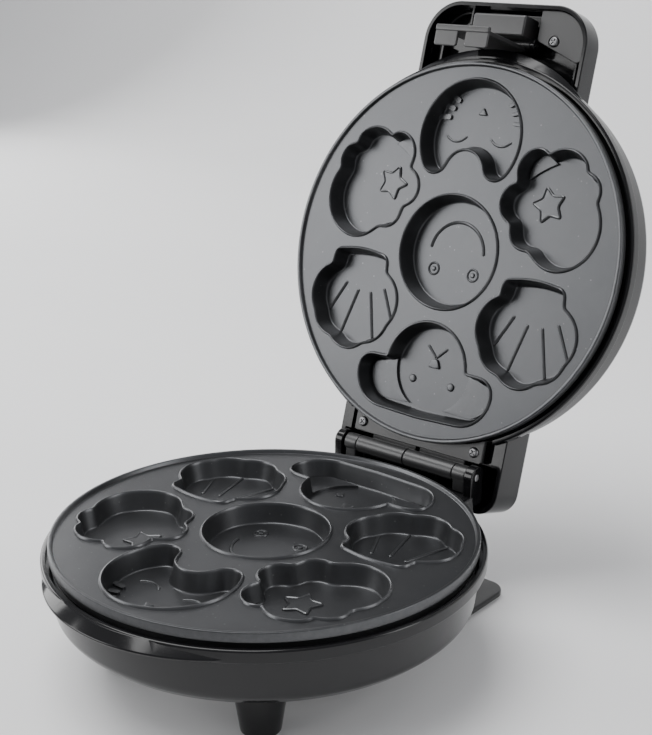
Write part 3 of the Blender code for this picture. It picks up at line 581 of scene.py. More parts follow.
def handling_group():
    """Soft smears and settled dust from use, as two slow masks over the surface."""
    group, given, out = socket_group("handling_marks", [("Smear Scale", 18.0), ("Dust Scale", 900.0)],
                                     [("Smears", "NodeSocketFloat"), ("Dust", "NodeSocketFloat")])
    where = group.nodes.new("ShaderNodeTexCoord").outputs["Object"]
    smears = spread(group, noise(group, where, given.outputs["Smear Scale"], 4.0, 0.55), 0.35, 0.75)
    drift = spread(group, noise(group, where, 9.0, 3.0, 0.6), 0.42, 0.7)
    grit = node(group, "ShaderNodeTexVoronoi", Vector=where, Scale=given.outputs["Dust Scale"])
    motes = spread(group, grit.outputs["Distance"], 0.16, 0.05)
    up = group.nodes.new("ShaderNodeNewGeometry").outputs["Normal"]
    up = node(group, "ShaderNodeSeparateXYZ", Vector=up).outputs["Z"]
    facing = spread(group, up, 0.2, 0.9)
    dust = math_node(group, "MULTIPLY", math_node(group, "MULTIPLY", motes, drift), facing)
    group.links.new(smears, out.inputs["Smears"])
    group.links.new(dust, out.inputs["Dust"])
    return group


def edge_group():
    """Edges where a coating thins and a painted highlight falls: a mask strongest on outward corners, broken
    up by noise.
    """
    group, given, out = socket_group("edge_wear_and_highlight", [("Sharpness", 0.06), ("Break Up", 260.0)],
                                     [("Edges", "NodeSocketFloat")])
    where = group.nodes.new("ShaderNodeTexCoord").outputs["Object"]
    point = group.nodes.new("ShaderNodeNewGeometry").outputs["Pointiness"]
    raised_edge = math_node(group, "SUBTRACT", point, 0.5)
    strong = math_node(group, "DIVIDE", raised_edge, given.outputs["Sharpness"], clamp=True)
    patches = spread(group, noise(group, where, given.outputs["Break Up"], 3.0, 0.6), 0.35, 0.65, 0.25, 1.0)
    group.links.new(math_node(group, "MULTIPLY", strong, patches), out.inputs["Edges"])
    return group


GRAIN, HANDLING, EDGES = grain_group(), handling_group(), edge_group()


def use(tree, group, **values):
    """A group placed in a material, with its own values."""
    made = tree.nodes.new("ShaderNodeGroup")
    made.node_tree = group
    for key, value in values.items():
        made.inputs[key.replace("_", " ")].default_value = value
    return made


def dress(tree, shader, colour, rough, height, strength, depth):
    """Links a finish's colour and roughness, and its bump with a strength and a depth in metres."""
    tree.links.new(colour, shader.inputs["Base Color"])
    tree.links.new(rough, shader.inputs["Roughness"])
    bump = node(tree, "ShaderNodeBump", Height=height, Strength=strength, Distance=depth)
    tree.links.new(bump.outputs["Normal"], shader.inputs["Normal"])


def coating_look():
    """Dark grey non-stick coating: a fine sprayed grain over metal, pale flecks, and rims lightened as wear
    and as a painted highlight.
    """
    made, tree, shader = new_look("non_stick_coating")
    grain = use(tree, GRAIN, Scale=2600.0, Speck_Size=620.0)
    marks = use(tree, HANDLING, Smear_Scale=22.0, Dust_Scale=1400.0)
    edges = use(tree, EDGES, Sharpness=0.3, Break_Up=420.0)
    base = mixed(tree, marks.outputs["Smears"], (0.08, 0.082, 0.086), (0.105, 0.107, 0.111))
    # Lighter rims and outward corners: partly worn coating, partly a painted highlight.
    base = mixed(tree, edges.outputs["Edges"], base, (0.2, 0.202, 0.205))
    base = mixed(tree, grain.outputs["Specks"], base, (0.17, 0.172, 0.175))
    tree.links.new(spread(tree, grain.outputs["Height"], 0.3, 0.7, 0.8, 0.9), shader.inputs["Metallic"])
    rough = spread(tree, marks.outputs["Smears"], 0.0, 1.0, 0.3, 0.37)
    dress(tree, shader, base, rough, grain.outputs["Height"], 0.1, 0.0002)
    return made


COATING = coating_look()
lower_plate = plate_bmesh()
upper_plate = mirror_up(lower_plate.copy())
settle(lower_plate, "lower_plate", "base", COATING, ["lower_cooking_plate"])
settle(upper_plate, "upper_plate", "lid", COATING, ["upper_cooking_plate"])

# ---- Lower housing ----
# The base's bowl is one glossy black moulding: a beaded rim round the plate, a crescent ledge in front
# for the latch, and behind it a square block with two cheeks for the hinge pin. Its middle is open for
# the bottom cover.

FIT = 0.3
RIM_R = drawn(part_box("lower_housing")[1]).x
BASE_DEPTH = -drawn(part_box("lower_housing")[0]).z
RIM_LOW = -10.5          # the rim's bead, from its underside
RIM_TOP = -4.5           # to its top, just under the plate's edge
RIM_INNER = RIM_R - 2.3
SIDE_R = RIM_R - 2.4
SHELF_R = RIM_INNER - 5.7
SHELF_Z = -SKIRT_DEPTH - FIT
WALL_T = 2.5
BASE_FLAT_R = 88.0
LEDGE_REACH = -drawn(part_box("lower_housing")[0]).y
LEDGE_R = 85.4
HINGE_Y = drawn(hinge_at).y
HINGE_Z = drawn(hinge_at).z
BLOCK_W = 46.0
BLOCK_FRONT = 70.0
BLOCK_BACK = 113.5
BLOCK_TOP = -6.0
BLOCK_LOW = -34.0
BAY_TOP = -14.0
CHEEK_IN = 40.7
CHEEK_T = 5.0
CHEEK_R = 6.0
PIN_R = 2.0
BORE_R = 2.35
GLAND_R = 4.2
GLAND_Z = -27.0
BOTTOM_HOLE_R = 50.0
BOTTOM_SCREW_R = 54.0
SCREW_HOLE_R = 1.7
SIDEWAYS = Matrix(((0, 0, 1, 0), (1, 0, 0, 0), (0, 1, 0, 0), (0, 0, 0, 1)))


def rounded(corners, step=0.8):
    """A closed outline from corners (x, y, radius), going anticlockwise."""
    points = []
    for i, (x, y, radius) in enumerate(corners):
        here = Vector((x, y))
        if radius == 0:
            points.append(here)
            continue
        back = (Vector(corners[i - 1][:2]) - here).normalized()
        on = (Vector(corners[(i + 1) % len(corners)][:2]) - here).normalized()
        half = back.angle(on) / 2
        centre = here + (back + on).normalized() * radius / math.sin(half)
        run = radius / math.tan(half)
        through = centre + (here - centre).normalized() * radius
        points += arc_through(here + back * run, through, here + on * run, step)
    return points


def turned(profile, steps=144, at=(0, 0)):
    """A solid turned about an upright axis, from a closed outline of (radius, z)."""
    bm = bmesh.new()
    verts = [bm.verts.new((max(p[0], 0), 0, p[1])) for p in profile]
    pairs = [(verts[i - 1], verts[i]) for i in range(len(verts))]
    edges = [bm.edges.new(pair) for pair in pairs if max(v.co.x for v in pair) > 0.001]
    bmesh.ops.spin(bm, geom=verts + edges, cent=(0, 0, 0), axis=(0, 0, 1), angle=math.tau, steps=steps,
                   use_merge=True)
    bmesh.ops.delete(bm, geom=[v for v in bm.verts if not v.link_faces], context="VERTS")
    bmesh.ops.remove_doubles(bm, verts=bm.verts, dist=0.0005)
    bmesh.ops.recalc_face_normals(bm, faces=bm.faces)
    bmesh.ops.translate(bm, verts=bm.verts, vec=(*at, 0))
    return bm


def slab(outline, low, high, ease=0.0, ease_low=None, segments=3):
    """An upright solid between two heights, with its upper and lower edges eased."""
    bm = bmesh.new()
    face = bm.faces.new([bm.verts.new((p[0], p[1], low)) for p in outline])
    pulled = bmesh.ops.extrude_face_region(bm, geom=[face])["geom"]
    top = [v for v in pulled if isinstance(v, bmesh.types.BMVert)]
    bmesh.ops.translate(bm, verts=top, vec=(0, 0, high - low))
    bmesh.ops.recalc_face_normals(bm, faces=bm.faces)
    for z, offset in ((high, ease), (low, ease if ease_low is None else ease_low)):
        if offset:
            rim = [e for e in bm.edges if all(abs(v.co.z - z) < 0.001 for v in e.verts)]
            bmesh.ops.bevel(bm, geom=rim, offset=offset, offset_type="OFFSET", segments=segments,
                            profile=0.5, affect="EDGES", material=-1, clamp_overlap=True)
    return bm


def block(x, y, z, ease=0.0, corner=0.0):
    """A box from three (low, high) pairs, with eased edges."""
    corners = ((x[0], y[0]), (x[1], y[0]), (x[1], y[1]), (x[0], y[1]))
    return slab(rounded([(*at, corner) for at in corners]), z[0], z[1], ease)


def rod(radius, x, at, ease=0.0):
    """A round bar along X between two places, centred on (y, z)."""
    return moved(slab(arc(at, radius, 0, 360, 0.5)[:-1], x[0], x[1], ease, segments=2), SIDEWAYS)


def sideways(outline, span, ease):
    """A solid along X between two places, from its outline in Y and Z."""
    return moved(slab(outline, *span, ease), SIDEWAYS)


def pin_hole(radius, low, high, at=(0, 0), step=0.4):
    """An upright round cutter."""
    return slab(arc(at, radius, 0, 360, step)[:-1], low, high)


def screw_holes(low, high, places):
    """Cutters for a row of screws."""
    return [pin_hole(SCREW_HOLE_R, low, high, at) for at in places]


def combined(how, target, others):
    """A shape with the others joined to it or cut from it."""
    for other in others:
        pair = []
        for shape in (target, other):
            mesh = bpy.data.meshes.new("shape")
            shape.to_mesh(mesh)
            shape.free()
            pair.append(bpy.data.objects.new("shape", mesh))
            bpy.context.scene.collection.objects.link(pair[-1])
        modifier = pair[0].modifiers.new("combine", "BOOLEAN")
        modifier.operation = how
        modifier.solver = "MANIFOLD"
        modifier.object = pair[1]
        solid = pair[0].evaluated_get(bpy.context.evaluated_depsgraph_get())
        made = bpy.data.meshes.new_from_object(solid)
        target = bmesh.new()
        target.from_mesh(made)
        for holder in pair:
            bpy.data.objects.remove(holder)
    return target


def joined(target, *others):
    """A shape with the others joined to it."""
    return combined("UNION", target, others)


def cut(target, *others):
    """A shape with the others cut from it."""
    return combined("DIFFERENCE", target, others)


def shell_outside(depth, flat_r, lean):
    """A housing's solid outside: flat, slanted edge, side, bead and rim."""
    return turned(rounded([(0, -depth, 0), (flat_r, -depth, 6), (flat_r + 7, -depth + 3, 6),
                           (SIDE_R - lean, -depth + 8, 7), (SIDE_R, RIM_LOW - 1.2, 0.5),
                           (RIM_R, RIM_LOW, 0.9), (RIM_R, RIM_TOP, 1.0), (0, RIM_TOP, 0)]))


def shell_inside(depth, flat_r):
    """The room inside a housing: the plate's recess, its shelf, and the space below."""
    return turned(rounded([(0, -depth + WALL_T, 0), (flat_r - 1, -depth + WALL_T, 4),
                           (SHELF_R - 2, -depth + 9 + WALL_T, 6), (SHELF_R, SHELF_Z - 4, 1),
                           (SHELF_R, SHELF_Z, 0), (RIM_INNER, SHELF_Z, 0), (RIM_INNER, RIM_TOP + 1, 0),
                           (0, RIM_TOP + 1, 0)]))


def front_ledge():
    """The crescent that grows out of the rim at the front, with a slanted face and a soft lower lip."""
    top = RIM_TOP - FIT
    return turned(rounded([(0, top - 6.5, 0), (LEDGE_R - 3, top - 6.5, 1.0), (LEDGE_R, top - 4.6, 0.9),
                           (LEDGE_R - 5.2, top, 0.8), (0, top, 0)]), at=(0, LEDGE_R - LEDGE_REACH))


def gloss_look():
    """Polished black moulding: a faint orange peel, finger smears, and dust that settles on top."""
    made, tree, shader = new_look("gloss_black", Metallic=0.0, IOR=1.42)
    grain = use(tree, GRAIN, Scale=170.0, Speck_Size=1500.0)
    marks = use(tree, HANDLING, Smear_Scale=14.0, Dust_Scale=1700.0)
    base = mixed(tree, marks.outputs["Smears"], (0.004, 0.004, 0.0045), (0.008, 0.008, 0.009))
    base = mixed(tree, marks.outputs["Dust"], base, (0.06, 0.059, 0.057))
    rough = spread(tree, marks.outputs["Smears"], 0.0, 1.0, 0.09, 0.17)
    rough = math_node(tree, "ADD", rough, math_node(tree, "MULTIPLY", marks.outputs["Dust"], 0.5))
    dress(tree, shader, base, rough, grain.outputs["Height"], 0.05, 0.0003)
    return made


GLOSS = gloss_look()
BOTTOM_SCREWS = [Vector((math.cos(t), math.sin(t))) * BOTTOM_SCREW_R
                 for t in map(math.radians, (90, 210, 330))]
bowl = joined(shell_outside(BASE_DEPTH, BASE_FLAT_R, 3.0), front_ledge())
hinge_block = block((-BLOCK_W, BLOCK_W), (BLOCK_FRONT, BLOCK_BACK), (BLOCK_LOW, BLOCK_TOP), 1.6, 5.0)
cheek_side = rounded([(HINGE_Y - CHEEK_R, BLOCK_TOP - 6, 0), (HINGE_Y + CHEEK_R - 1, BLOCK_TOP - 6, 0),
                      (HINGE_Y + CHEEK_R - 1, HINGE_Z, 0)])
cheek_side += arc((HINGE_Y, HINGE_Z), CHEEK_R, 0, 180)
cheeks = [sideways(cheek_side, span, 0.9)
          for span in ((-CHEEK_IN - CHEEK_T, -CHEEK_IN), (CHEEK_IN, CHEEK_IN + CHEEK_T))]
bowl = joined(bowl, hinge_block, *cheeks)
bay = block((-BLOCK_W + 3, BLOCK_W - 3), (BLOCK_FRONT, BLOCK_BACK - 3), (BLOCK_LOW + 3, BAY_TOP), 1.0, 2.0)
gland_hole = moved(pin_hole(GLAND_R + FIT, -6, 6, step=0.5), Matrix.Rotation(math.pi / 2, 4, "X"),
                   Matrix.Translation((0, BLOCK_BACK, GLAND_Z)))
floor_cut = (-BASE_DEPTH - 1, -BASE_DEPTH + WALL_T + 1)
bowl = cut(bowl, shell_inside(BASE_DEPTH, BASE_FLAT_R), bay, gland_hole,
           pin_hole(BOTTOM_HOLE_R, *floor_cut),
           rod(BORE_R, (-BLOCK_W - 5, BLOCK_W + 5), (HINGE_Y, HINGE_Z)),
           *screw_holes(*floor_cut, BOTTOM_SCREWS))
settle(bowl, "base_bowl", "base", GLOSS, ["lower_housing"])

# ---- Lid housing ----
# The lid's shell is the bowl's counterpart, moulded in the same glossy black, with a nearly upright side
# and a broad tail that shrouds the hinge. The upper plate sits in its recess and the hinge bracket in
# its bay.

LID_DEPTH = 37.0
LID_FLAT_R = 78.0
TAIL_W = 54.0
TAIL_START = 66.0
TAIL_END = 133.0
TAIL_LOW = 12.0
TAIL_TOP = 36.0
TAIL_CORNER = 12.0
BRACKET_LOW = 9.0
BRACKET_T = 2.5
ARM_T = 2.2
BRACKET_FRONT = 90.0
BRACKET_SCREWS = [(-37.0, 101.2), (37.0, 101.2)]

lid_shell = mirror_up(joined(shell_outside(LID_DEPTH, LID_FLAT_R, 0.5), front_ledge()))
tail = rounded([(-TAIL_W, TAIL_START, 0), (TAIL_W, TAIL_START, 0), (TAIL_W, TAIL_END, TAIL_CORNER),
                (-TAIL_W, TAIL_END, TAIL_CORNER)])
tail = slab(tail, TAIL_LOW, TAIL_TOP, 3.0, 0.6, 5)
lid_shell = joined(lid_shell, tail)
bay_w, bay_end, bay_corner = TAIL_W - WALL_T, TAIL_END - WALL_T, TAIL_CORNER - WALL_T
bay = slab(rounded([(-bay_w, RIM_R + 1, 1.5), (bay_w, RIM_R + 1, 1.5), (bay_w, bay_end, bay_corner),
                    (-bay_w, bay_end, bay_corner)]), TAIL_LOW - 1, TAIL_TOP - WALL_T, 1.5, 0)
hinge_room = block((-BLOCK_W - 1, BLOCK_W + 1), (BRACKET_FRONT - FIT, bay_end - 2),
                   (0, BRACKET_LOW + BRACKET_T + ARM_T + 3 * FIT))
lid_shell = cut(lid_shell, mirror_up(shell_inside(LID_DEPTH, LID_FLAT_R)), bay, hinge_room,
                *screw_holes(0, 22, BRACKET_SCREWS))
for x in (-30, -10, 10, 30):
    rib = block((x - 0.9, x + 0.9), (RIM_R + 2, bay_end + 0.5), (TAIL_LOW + 8, TAIL_TOP - 1), 0.4)
    lid_shell = joined(lid_shell, rib)
settle(lid_shell, "lid_shell", "lid", GLOSS, ["lid_housing"])

# ---- Handle ----
# A hollow black handle moulded with round corners, fixed round the front of the lid. Two ears inside it
# carry the latch's pin, and thin ribs stiffen its walls.

HANDLE_W = 51.5
HANDLE_END = -137.5
HANDLE_ROOT = -60.0      # inside the lid, where the room for the lid cuts it off
HANDLE_LOW = 17.0
HANDLE_TOP = 33.0
HANDLE_T = 2.3
HANDLE_CORNER = 21.5
LATCH_W = 16.4
LATCH_PIN_Y = -116.5
LATCH_PIN_Z = 22.0
LATCH_PIN_R = 1.5
EAR_T = 2.5
LENS_R = 3.0
LENS_X = (27.0, 37.0)
LENS_Y = -124.0


def handle_outline(inwards):
    """The handle's outline, moved inwards by a wall."""
    reach, end = HANDLE_W - inwards, HANDLE_END + inwards
    return rounded([(-reach, end, HANDLE_CORNER - inwards), (reach, end, HANDLE_CORNER - inwards),
                    (reach, HANDLE_ROOT, 0), (-reach, HANDLE_ROOT, 0)])


handle = slab(handle_outline(0), HANDLE_LOW, HANDLE_TOP, 3.2, 0.7, 5)
handle = cut(handle, slab(handle_outline(HANDLE_T), HANDLE_LOW - 1, HANDLE_TOP - HANDLE_T, 1.6, 0))
for side in (-1, 1):
    span = sorted((side * (LATCH_W + FIT), side * (LATCH_W + FIT + EAR_T)))
    front, back, low = LATCH_PIN_Y - 3.5, LATCH_PIN_Y + 3.5, LATCH_PIN_Z - 3.5
    ear_side = rounded([(front, HANDLE_TOP - 1, 0), (front, low, 3.2), (back, low, 3.2),
                        (back, HANDLE_TOP - 1, 0)])
    handle = joined(handle, sideways(ear_side, span, 0.4))
for x, y in ((-42, (-114, -100)), (-26, (-136, -126)), (44, (-112, -96)), (-49.8, (-112, -108))):
    handle = joined(handle, block((x - 0.8, x + 0.8), y, (HANDLE_LOW + 6, HANDLE_TOP - 1), 0.3))
room = shell_outside(LID_DEPTH, LID_FLAT_R, 0.5)
room = moved(room, Matrix.Diagonal(((RIM_R + FIT) / RIM_R, (RIM_R + FIT) / RIM_R, 1.008, 1)))
handle = cut(handle, mirror_up(room), rod(LATCH_PIN_R + FIT, (-30, 30), (LATCH_PIN_Y, LATCH_PIN_Z)),
             *[pin_hole(LENS_R + FIT, HANDLE_TOP - 5, HANDLE_TOP + 1, (x, LENS_Y)) for x in LENS_X])
settle(handle, "handle_shell", "lid", GLOSS, ["handle"])

# ---- Handle cover ----
# A satin black panel closes the handle's right half from below, held by one cross-head screw in a
# shallow round sink. It leaves a pocket between its back edge and the lid.

COVER_T = 2.0
COVER_IN = 1.5
COVER_LEFT = 20.5
COVER_BACK_LEFT = -118.5
COVER_BACK_RIGHT = -107.0
COVER_SCREW_AT = (31.0, -118.5)
COVER_SINK = 0.5         # the screw's head sits this deep in the panel
COVER_SINK_R = 3.4


def satin_look():
    """Satin black moulding: an even fine grain, soft smears and a little dust."""
    made, tree, shader = new_look("satin_black", Metallic=0.0, IOR=1.6)
    grain = use(tree, GRAIN, Scale=2400.0, Speck_Size=1100.0)
    marks = use(tree, HANDLING, Smear_Scale=26.0, Dust_Scale=1500.0)
    base = mixed(tree, marks.outputs["Smears"], (0.022, 0.022, 0.0225), (0.034, 0.034, 0.035))
    base = mixed(tree, marks.outputs["Dust"], base, (0.12, 0.118, 0.115))
    rough = spread(tree, marks.outputs["Smears"], 0.0, 1.0, 0.28, 0.4)
    dress(tree, shader, base, rough, grain.outputs["Height"], 0.18, 0.00012)
    return made


SATIN = satin_look()
cover_low = HANDLE_LOW + COVER_IN
cover_reach = HANDLE_W - HANDLE_T - FIT
cover_front = HANDLE_END + HANDLE_T + FIT
panel = rounded([(COVER_LEFT, cover_front, 1.0),
                 (cover_reach, cover_front, HANDLE_CORNER - HANDLE_T - FIT),
                 (cover_reach, COVER_BACK_RIGHT, 2.5), (COVER_LEFT, COVER_BACK_LEFT, 2.5)])
panel = slab(panel, cover_low, cover_low + COVER_T, 0.5)
panel = cut(panel, pin_hole(SCREW_HOLE_R, cover_low - 1, cover_low + 3, COVER_SCREW_AT),
            pin_hole(COVER_SINK_R, cover_low - 1, cover_low + COVER_SINK, COVER_SCREW_AT, 0.5))
settle(panel, "handle_panel", "lid", SATIN, ["handle_cover"])

# ---- Screws ----
# Pan-head steel screws with a cross recess: three under the base, two in the hinge bracket, one in the
# handle.

SCREW_HEAD_R = 2.9
SCREW_HEAD_H = 1.4
SCREW_SHANK_R = 1.4
SCREW_PITCH = 0.8


def metal_look(name, light, dark, low_rough, high_rough, scale):
    """Drawn or turned metal: fine streaks of two tones, with roughness that varies in soft smears."""
    made, tree, shader = new_look(name, Metallic=1.0)
    grain = use(tree, GRAIN, Scale=scale, Speck_Size=scale * 0.5)
    marks = use(tree, HANDLING, Smear_Scale=60.0, Dust_Scale=2000.0)
    base = mixed(tree, grain.outputs["Height"], dark, light)
    base = mixed(tree, grain.outputs["Specks"], base, dark)
    rough = spread(tree, marks.outputs["Smears"], 0.0, 1.0, low_rough, high_rough)
    dress(tree, shader, base, rough, grain.outputs["Height"], 0.1, 0.0001)
    return made


STEEL = metal_look("steel", (0.62, 0.62, 0.63), (0.46, 0.46, 0.47), 0.22, 0.36, 1800.0)
DARK_STEEL = metal_look("dark_steel", (0.26, 0.26, 0.265), (0.12, 0.12, 0.125), 0.28, 0.42, 1500.0)


def screw(at, seat, turn=20.0, length=5.0):
    """A pan head with a cross recess, and its threaded shank pointing up from the seat."""
    profile = rounded([(0, -SCREW_HEAD_H, 0), (SCREW_HEAD_R - 0.5, -SCREW_HEAD_H, 0.9),
                       (SCREW_HEAD_R, -0.2, 0.4), (SCREW_HEAD_R, 0, 0), (SCREW_SHANK_R, 0, 0)], 0.25)
    for k in range(round(length / SCREW_PITCH)):
        foot = SCREW_PITCH * k
        profile += [Vector((SCREW_SHANK_R, foot + 0.25)), Vector((SCREW_SHANK_R - 0.25, foot + 0.55))]
    profile += [Vector((0.5, length)), Vector((0, length))]
    made = turned(profile, 24)
    arm = SCREW_HEAD_R * 0.56
    for spin in (0, 90):
        slot_cut = block((-arm, arm), (-0.34, 0.34), (-SCREW_HEAD_H - 1, -SCREW_HEAD_H + 0.75))
        made = cut(made, moved(slot_cut, Matrix.Rotation(math.radians(spin + turn), 4, "Z")))
    return moved(made, Matrix.Translation((*at, seat)))


settle(screw(COVER_SCREW_AT, cover_low + COVER_SINK, 34), "handle_screw", "lid", DARK_STEEL,
       ["handle_cover_screw"])
for at, turn, word in zip(BRACKET_SCREWS, (-52, 52), ("left", "right")):
    settle(screw(at, BRACKET_LOW, turn), f"hinge_screw_{word}", "lid", DARK_STEEL,
           [f"bracket_screw_{word}"])
BOTTOM_T = 2.0
for number, at in enumerate(BOTTOM_SCREWS, 1):
    settle(screw(at, -BASE_DEPTH - FIT - BOTTOM_T, 25 * number), f"bottom_screw_{number}", "base",
           STEEL, [f"cover_screw_{number}"])

# ---- Latch ----
# A satin black block under the fingers in the middle of the handle, turning on a steel pin. A flat stem
# drops from it to a cross-bar with two catch pads, which hook the front ledge when the lid is shut.

LATCH_LOW = -21.5
STEM_T = 2.4
BAR_T = 3.4
CATCH_END = -105.0       # how far the catch pads reach under the ledge
TAB_LOW = 10.0
TAB_HIGH = 24.5
stem_back = -LEDGE_REACH - 2 * FIT
bar_front, tab_front, tab_back = stem_back - BAR_T, LATCH_PIN_Y - 13.5, LATCH_PIN_Y - 2
latch_span = (-LATCH_W, LATCH_W)
stem = block((-LATCH_W + 3, LATCH_W - 3), (stem_back - STEM_T, stem_back),
             (LATCH_LOW, LATCH_PIN_Z + 1), 0.5, 0.6)
bar = rounded([(bar_front, LATCH_LOW - 1, 0.9), (stem_back, LATCH_LOW - 1, 0.6),
               (stem_back, LATCH_LOW + 1.5, 0.6), (bar_front, LATCH_LOW + 1.5, 0.9)], 0.4)
bar = sideways(bar, latch_span, 0.6)
tab = sideways(rounded([(tab_front, TAB_LOW, 1.4), (tab_back, TAB_LOW, 1.4), (tab_back, TAB_HIGH, 1.0),
                        (tab_front, TAB_HIGH, 1.4)]), latch_span, 1.1)
latch = joined(stem, bar, rod(3.2, latch_span, (LATCH_PIN_Y, LATCH_PIN_Z), 0.4), tab)
for side in (-1, 1):
    pad = block(sorted((side * 2.4, side * LATCH_W)), (stem_back - 1, CATCH_END),
                (LATCH_LOW - 0.4, LATCH_LOW + 1.2), 0.5, 1.2)
    latch = joined(latch, pad)
for x in (-6, 0, 6):
    latch = joined(latch, block((x - 0.6, x + 0.6), (stem_back - STEM_T - 1.2, stem_back - 1),
                                (LATCH_LOW + 8, TAB_LOW + 1), 0.3))
latch = cut(latch, rod(LATCH_PIN_R + 0.35, (-30, 30), (LATCH_PIN_Y, LATCH_PIN_Z)))
settle(latch, "latch_hook", "latch", SATIN, ["latch"])

pin_end = LATCH_W + FIT + EAR_T
settle(rod(LATCH_PIN_R, (-pin_end - 6, pin_end), (LATCH_PIN_Y, LATCH_PIN_Z), 0.35), "latch_axle", "lid",
       STEEL, ["latch_pin"])

# ---- Lamps ----
# Two small domed lenses in the handle's roof, a red one for power and a green one for ready.


def lens_look(name, colour, deep):
    """Clear tinted moulding over a small lamp, its tint deeper in soft patches."""
    made, tree, shader = new_look(name, Roughness=0.08, IOR=1.49, Coat_Weight=0.5)
    marks = use(tree, HANDLING, Smear_Scale=120.0, Dust_Scale=2200.0)
    tint = mixed(tree, marks.outputs["Smears"], colour, deep)
    tree.links.new(tint, shader.inputs["Base Color"])
    return made


for word, x, slot, colour, deep in (
        ("power", LENS_X[0], "red_lens", (0.5, 0.02, 0.01), (0.32, 0.01, 0.006)),
        ("ready", LENS_X[1], "green_lens", (0.02, 0.35, 0.06), (0.01, 0.2, 0.03))):
    profile = rounded([(0, HANDLE_TOP - 4, 0), (LENS_R, HANDLE_TOP - 4, 0.3), (LENS_R, HANDLE_TOP + FIT, 0),
                       (LENS_R + 1, HANDLE_TOP + FIT, 0.2), (LENS_R + 0.6, HANDLE_TOP + 1.1, 0.5),
                       (0, HANDLE_TOP + 1.6, 0)], 0.3)
    settle(turned(profile, 40, (x, LENS_Y)), f"{word}_lamp", "lid", lens_look(slot, colour, deep),
           [f"{word}_lens"])

# ---- Hinge ----
# A steel pin runs through the two cheeks, a black knuckle on each side, and the lid's barrel, which is
# moulded in two halves that meet in the middle. Their arms reach over a flat bracket that is screwed to
# the lid.

BARREL_R = 4.8
BARREL_END = 31.8
KNUCKLE_L = 8.0
ARM_FRONT = 98.0
BRACKET_W = 42.5
BRACKET_END = 106.8
axle = (HINGE_Y, HINGE_Z)
bracket = block((-BRACKET_W, BRACKET_W), (BRACKET_FRONT, BRACKET_END),
                (BRACKET_LOW, BRACKET_LOW + BRACKET_T), 0.5, 2)
bracket = cut(bracket, pin_hole(PLATE_R + 2 * FIT, 0, 30, step=2.0), *screw_holes(0, 30, BRACKET_SCREWS))
settle(bracket, "hinge_bracket", "lid", SATIN, ["lid_hinge_bracket"])
settle(rod(PIN_R, (-BLOCK_W + 0.5, BLOCK_W - 0.5), axle, 0.5), "hinge_axle", "base", STEEL,
       ["hinge_pin"])
arm_low = BRACKET_LOW + BRACKET_T + FIT
for side, word in ((-1, "left"), (1, "right")):
    span = sorted((side * FIT, side * BARREL_END))
    tube = rod(BARREL_R, span, axle, 0.5)
    arm_side = rounded([(HINGE_Y - 3, HINGE_Z, 0), (HINGE_Y + 2.2, HINGE_Z, 0),
                        (HINGE_Y + 2.2, arm_low + ARM_T, 1.8), (ARM_FRONT, arm_low + ARM_T, 0.5),
                        (ARM_FRONT, arm_low, 0.5), (HINGE_Y - 3, arm_low, 0.8)])
    tube = joined(tube, sideways(arm_side, (span[0] + 1, span[1] - 1), 0.4))
    tube = cut(tube, rod(BORE_R, (span[0] - 1, span[1] + 1), axle))
    settle(tube, f"barrel_{word}", "lid", SATIN, [f"hinge_barrel_{word}"])
    span = sorted((side * (BARREL_END + FIT), side * (BARREL_END + FIT + KNUCKLE_L)))
    sleeve = rod(BARREL_R, span, axle, 0.6)
    foot = block((span[0] + 0.5, span[1] - 0.5), (HINGE_Y - 4, BLOCK_BACK - 0.5),
                 (BLOCK_TOP + FIT, HINGE_Z), 0.4, 0.6)
    sleeve = cut(joined(sleeve, foot), rod(BORE_R, (span[0] - 1, span[1] + 1), axle))
    settle(sleeve, f"knuckle_{word}", "base", SATIN, [f"hinge_knuckle_{word}"])

# ---- Legs and rear foot ----
# Two tapered legs under the front edge and one broad flat foot on a column behind, all glossy black
# mouldings that stand on small rubber pads.

PAD_T = 1.7
LEG_TOP_R = 13.8
LEG_LOW_R = 9.2
FLOOR_DEPTH = drawn((0, 0, 0)).z
FOOT_W = 60.0
FOOT_END = 125.0
FOOT_FRONT = 66.0
FOOT_T = 3.0
FOOT_CORNER = 10.0
pad_box = [drawn(corner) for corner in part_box("front_pad_right")]
LEG_AT = ((pad_box[0].x + pad_box[1].x) / 2, (pad_box[0].y + pad_box[1].y) / 2)


def rubber_look():
    """Matt black rubber with a fine chalky bloom."""
    made, tree, shader = new_look("rubber", Metallic=0.0)
    grain = use(tree, GRAIN, Scale=2000.0, Speck_Size=900.0)
    marks = use(tree, HANDLING, Smear_Scale=40.0, Dust_Scale=1300.0)
    base = mixed(tree, marks.outputs["Smears"], (0.012, 0.012, 0.012), (0.034, 0.033, 0.032))
    base = mixed(tree, grain.outputs["Specks"], base, (0.07, 0.068, 0.065))
    rough = spread(tree, grain.outputs["Height"], 0.3, 0.7, 0.75, 0.92)
    dress(tree, shader, base, rough, grain.outputs["Height"], 0.3, 0.0002)
    return made


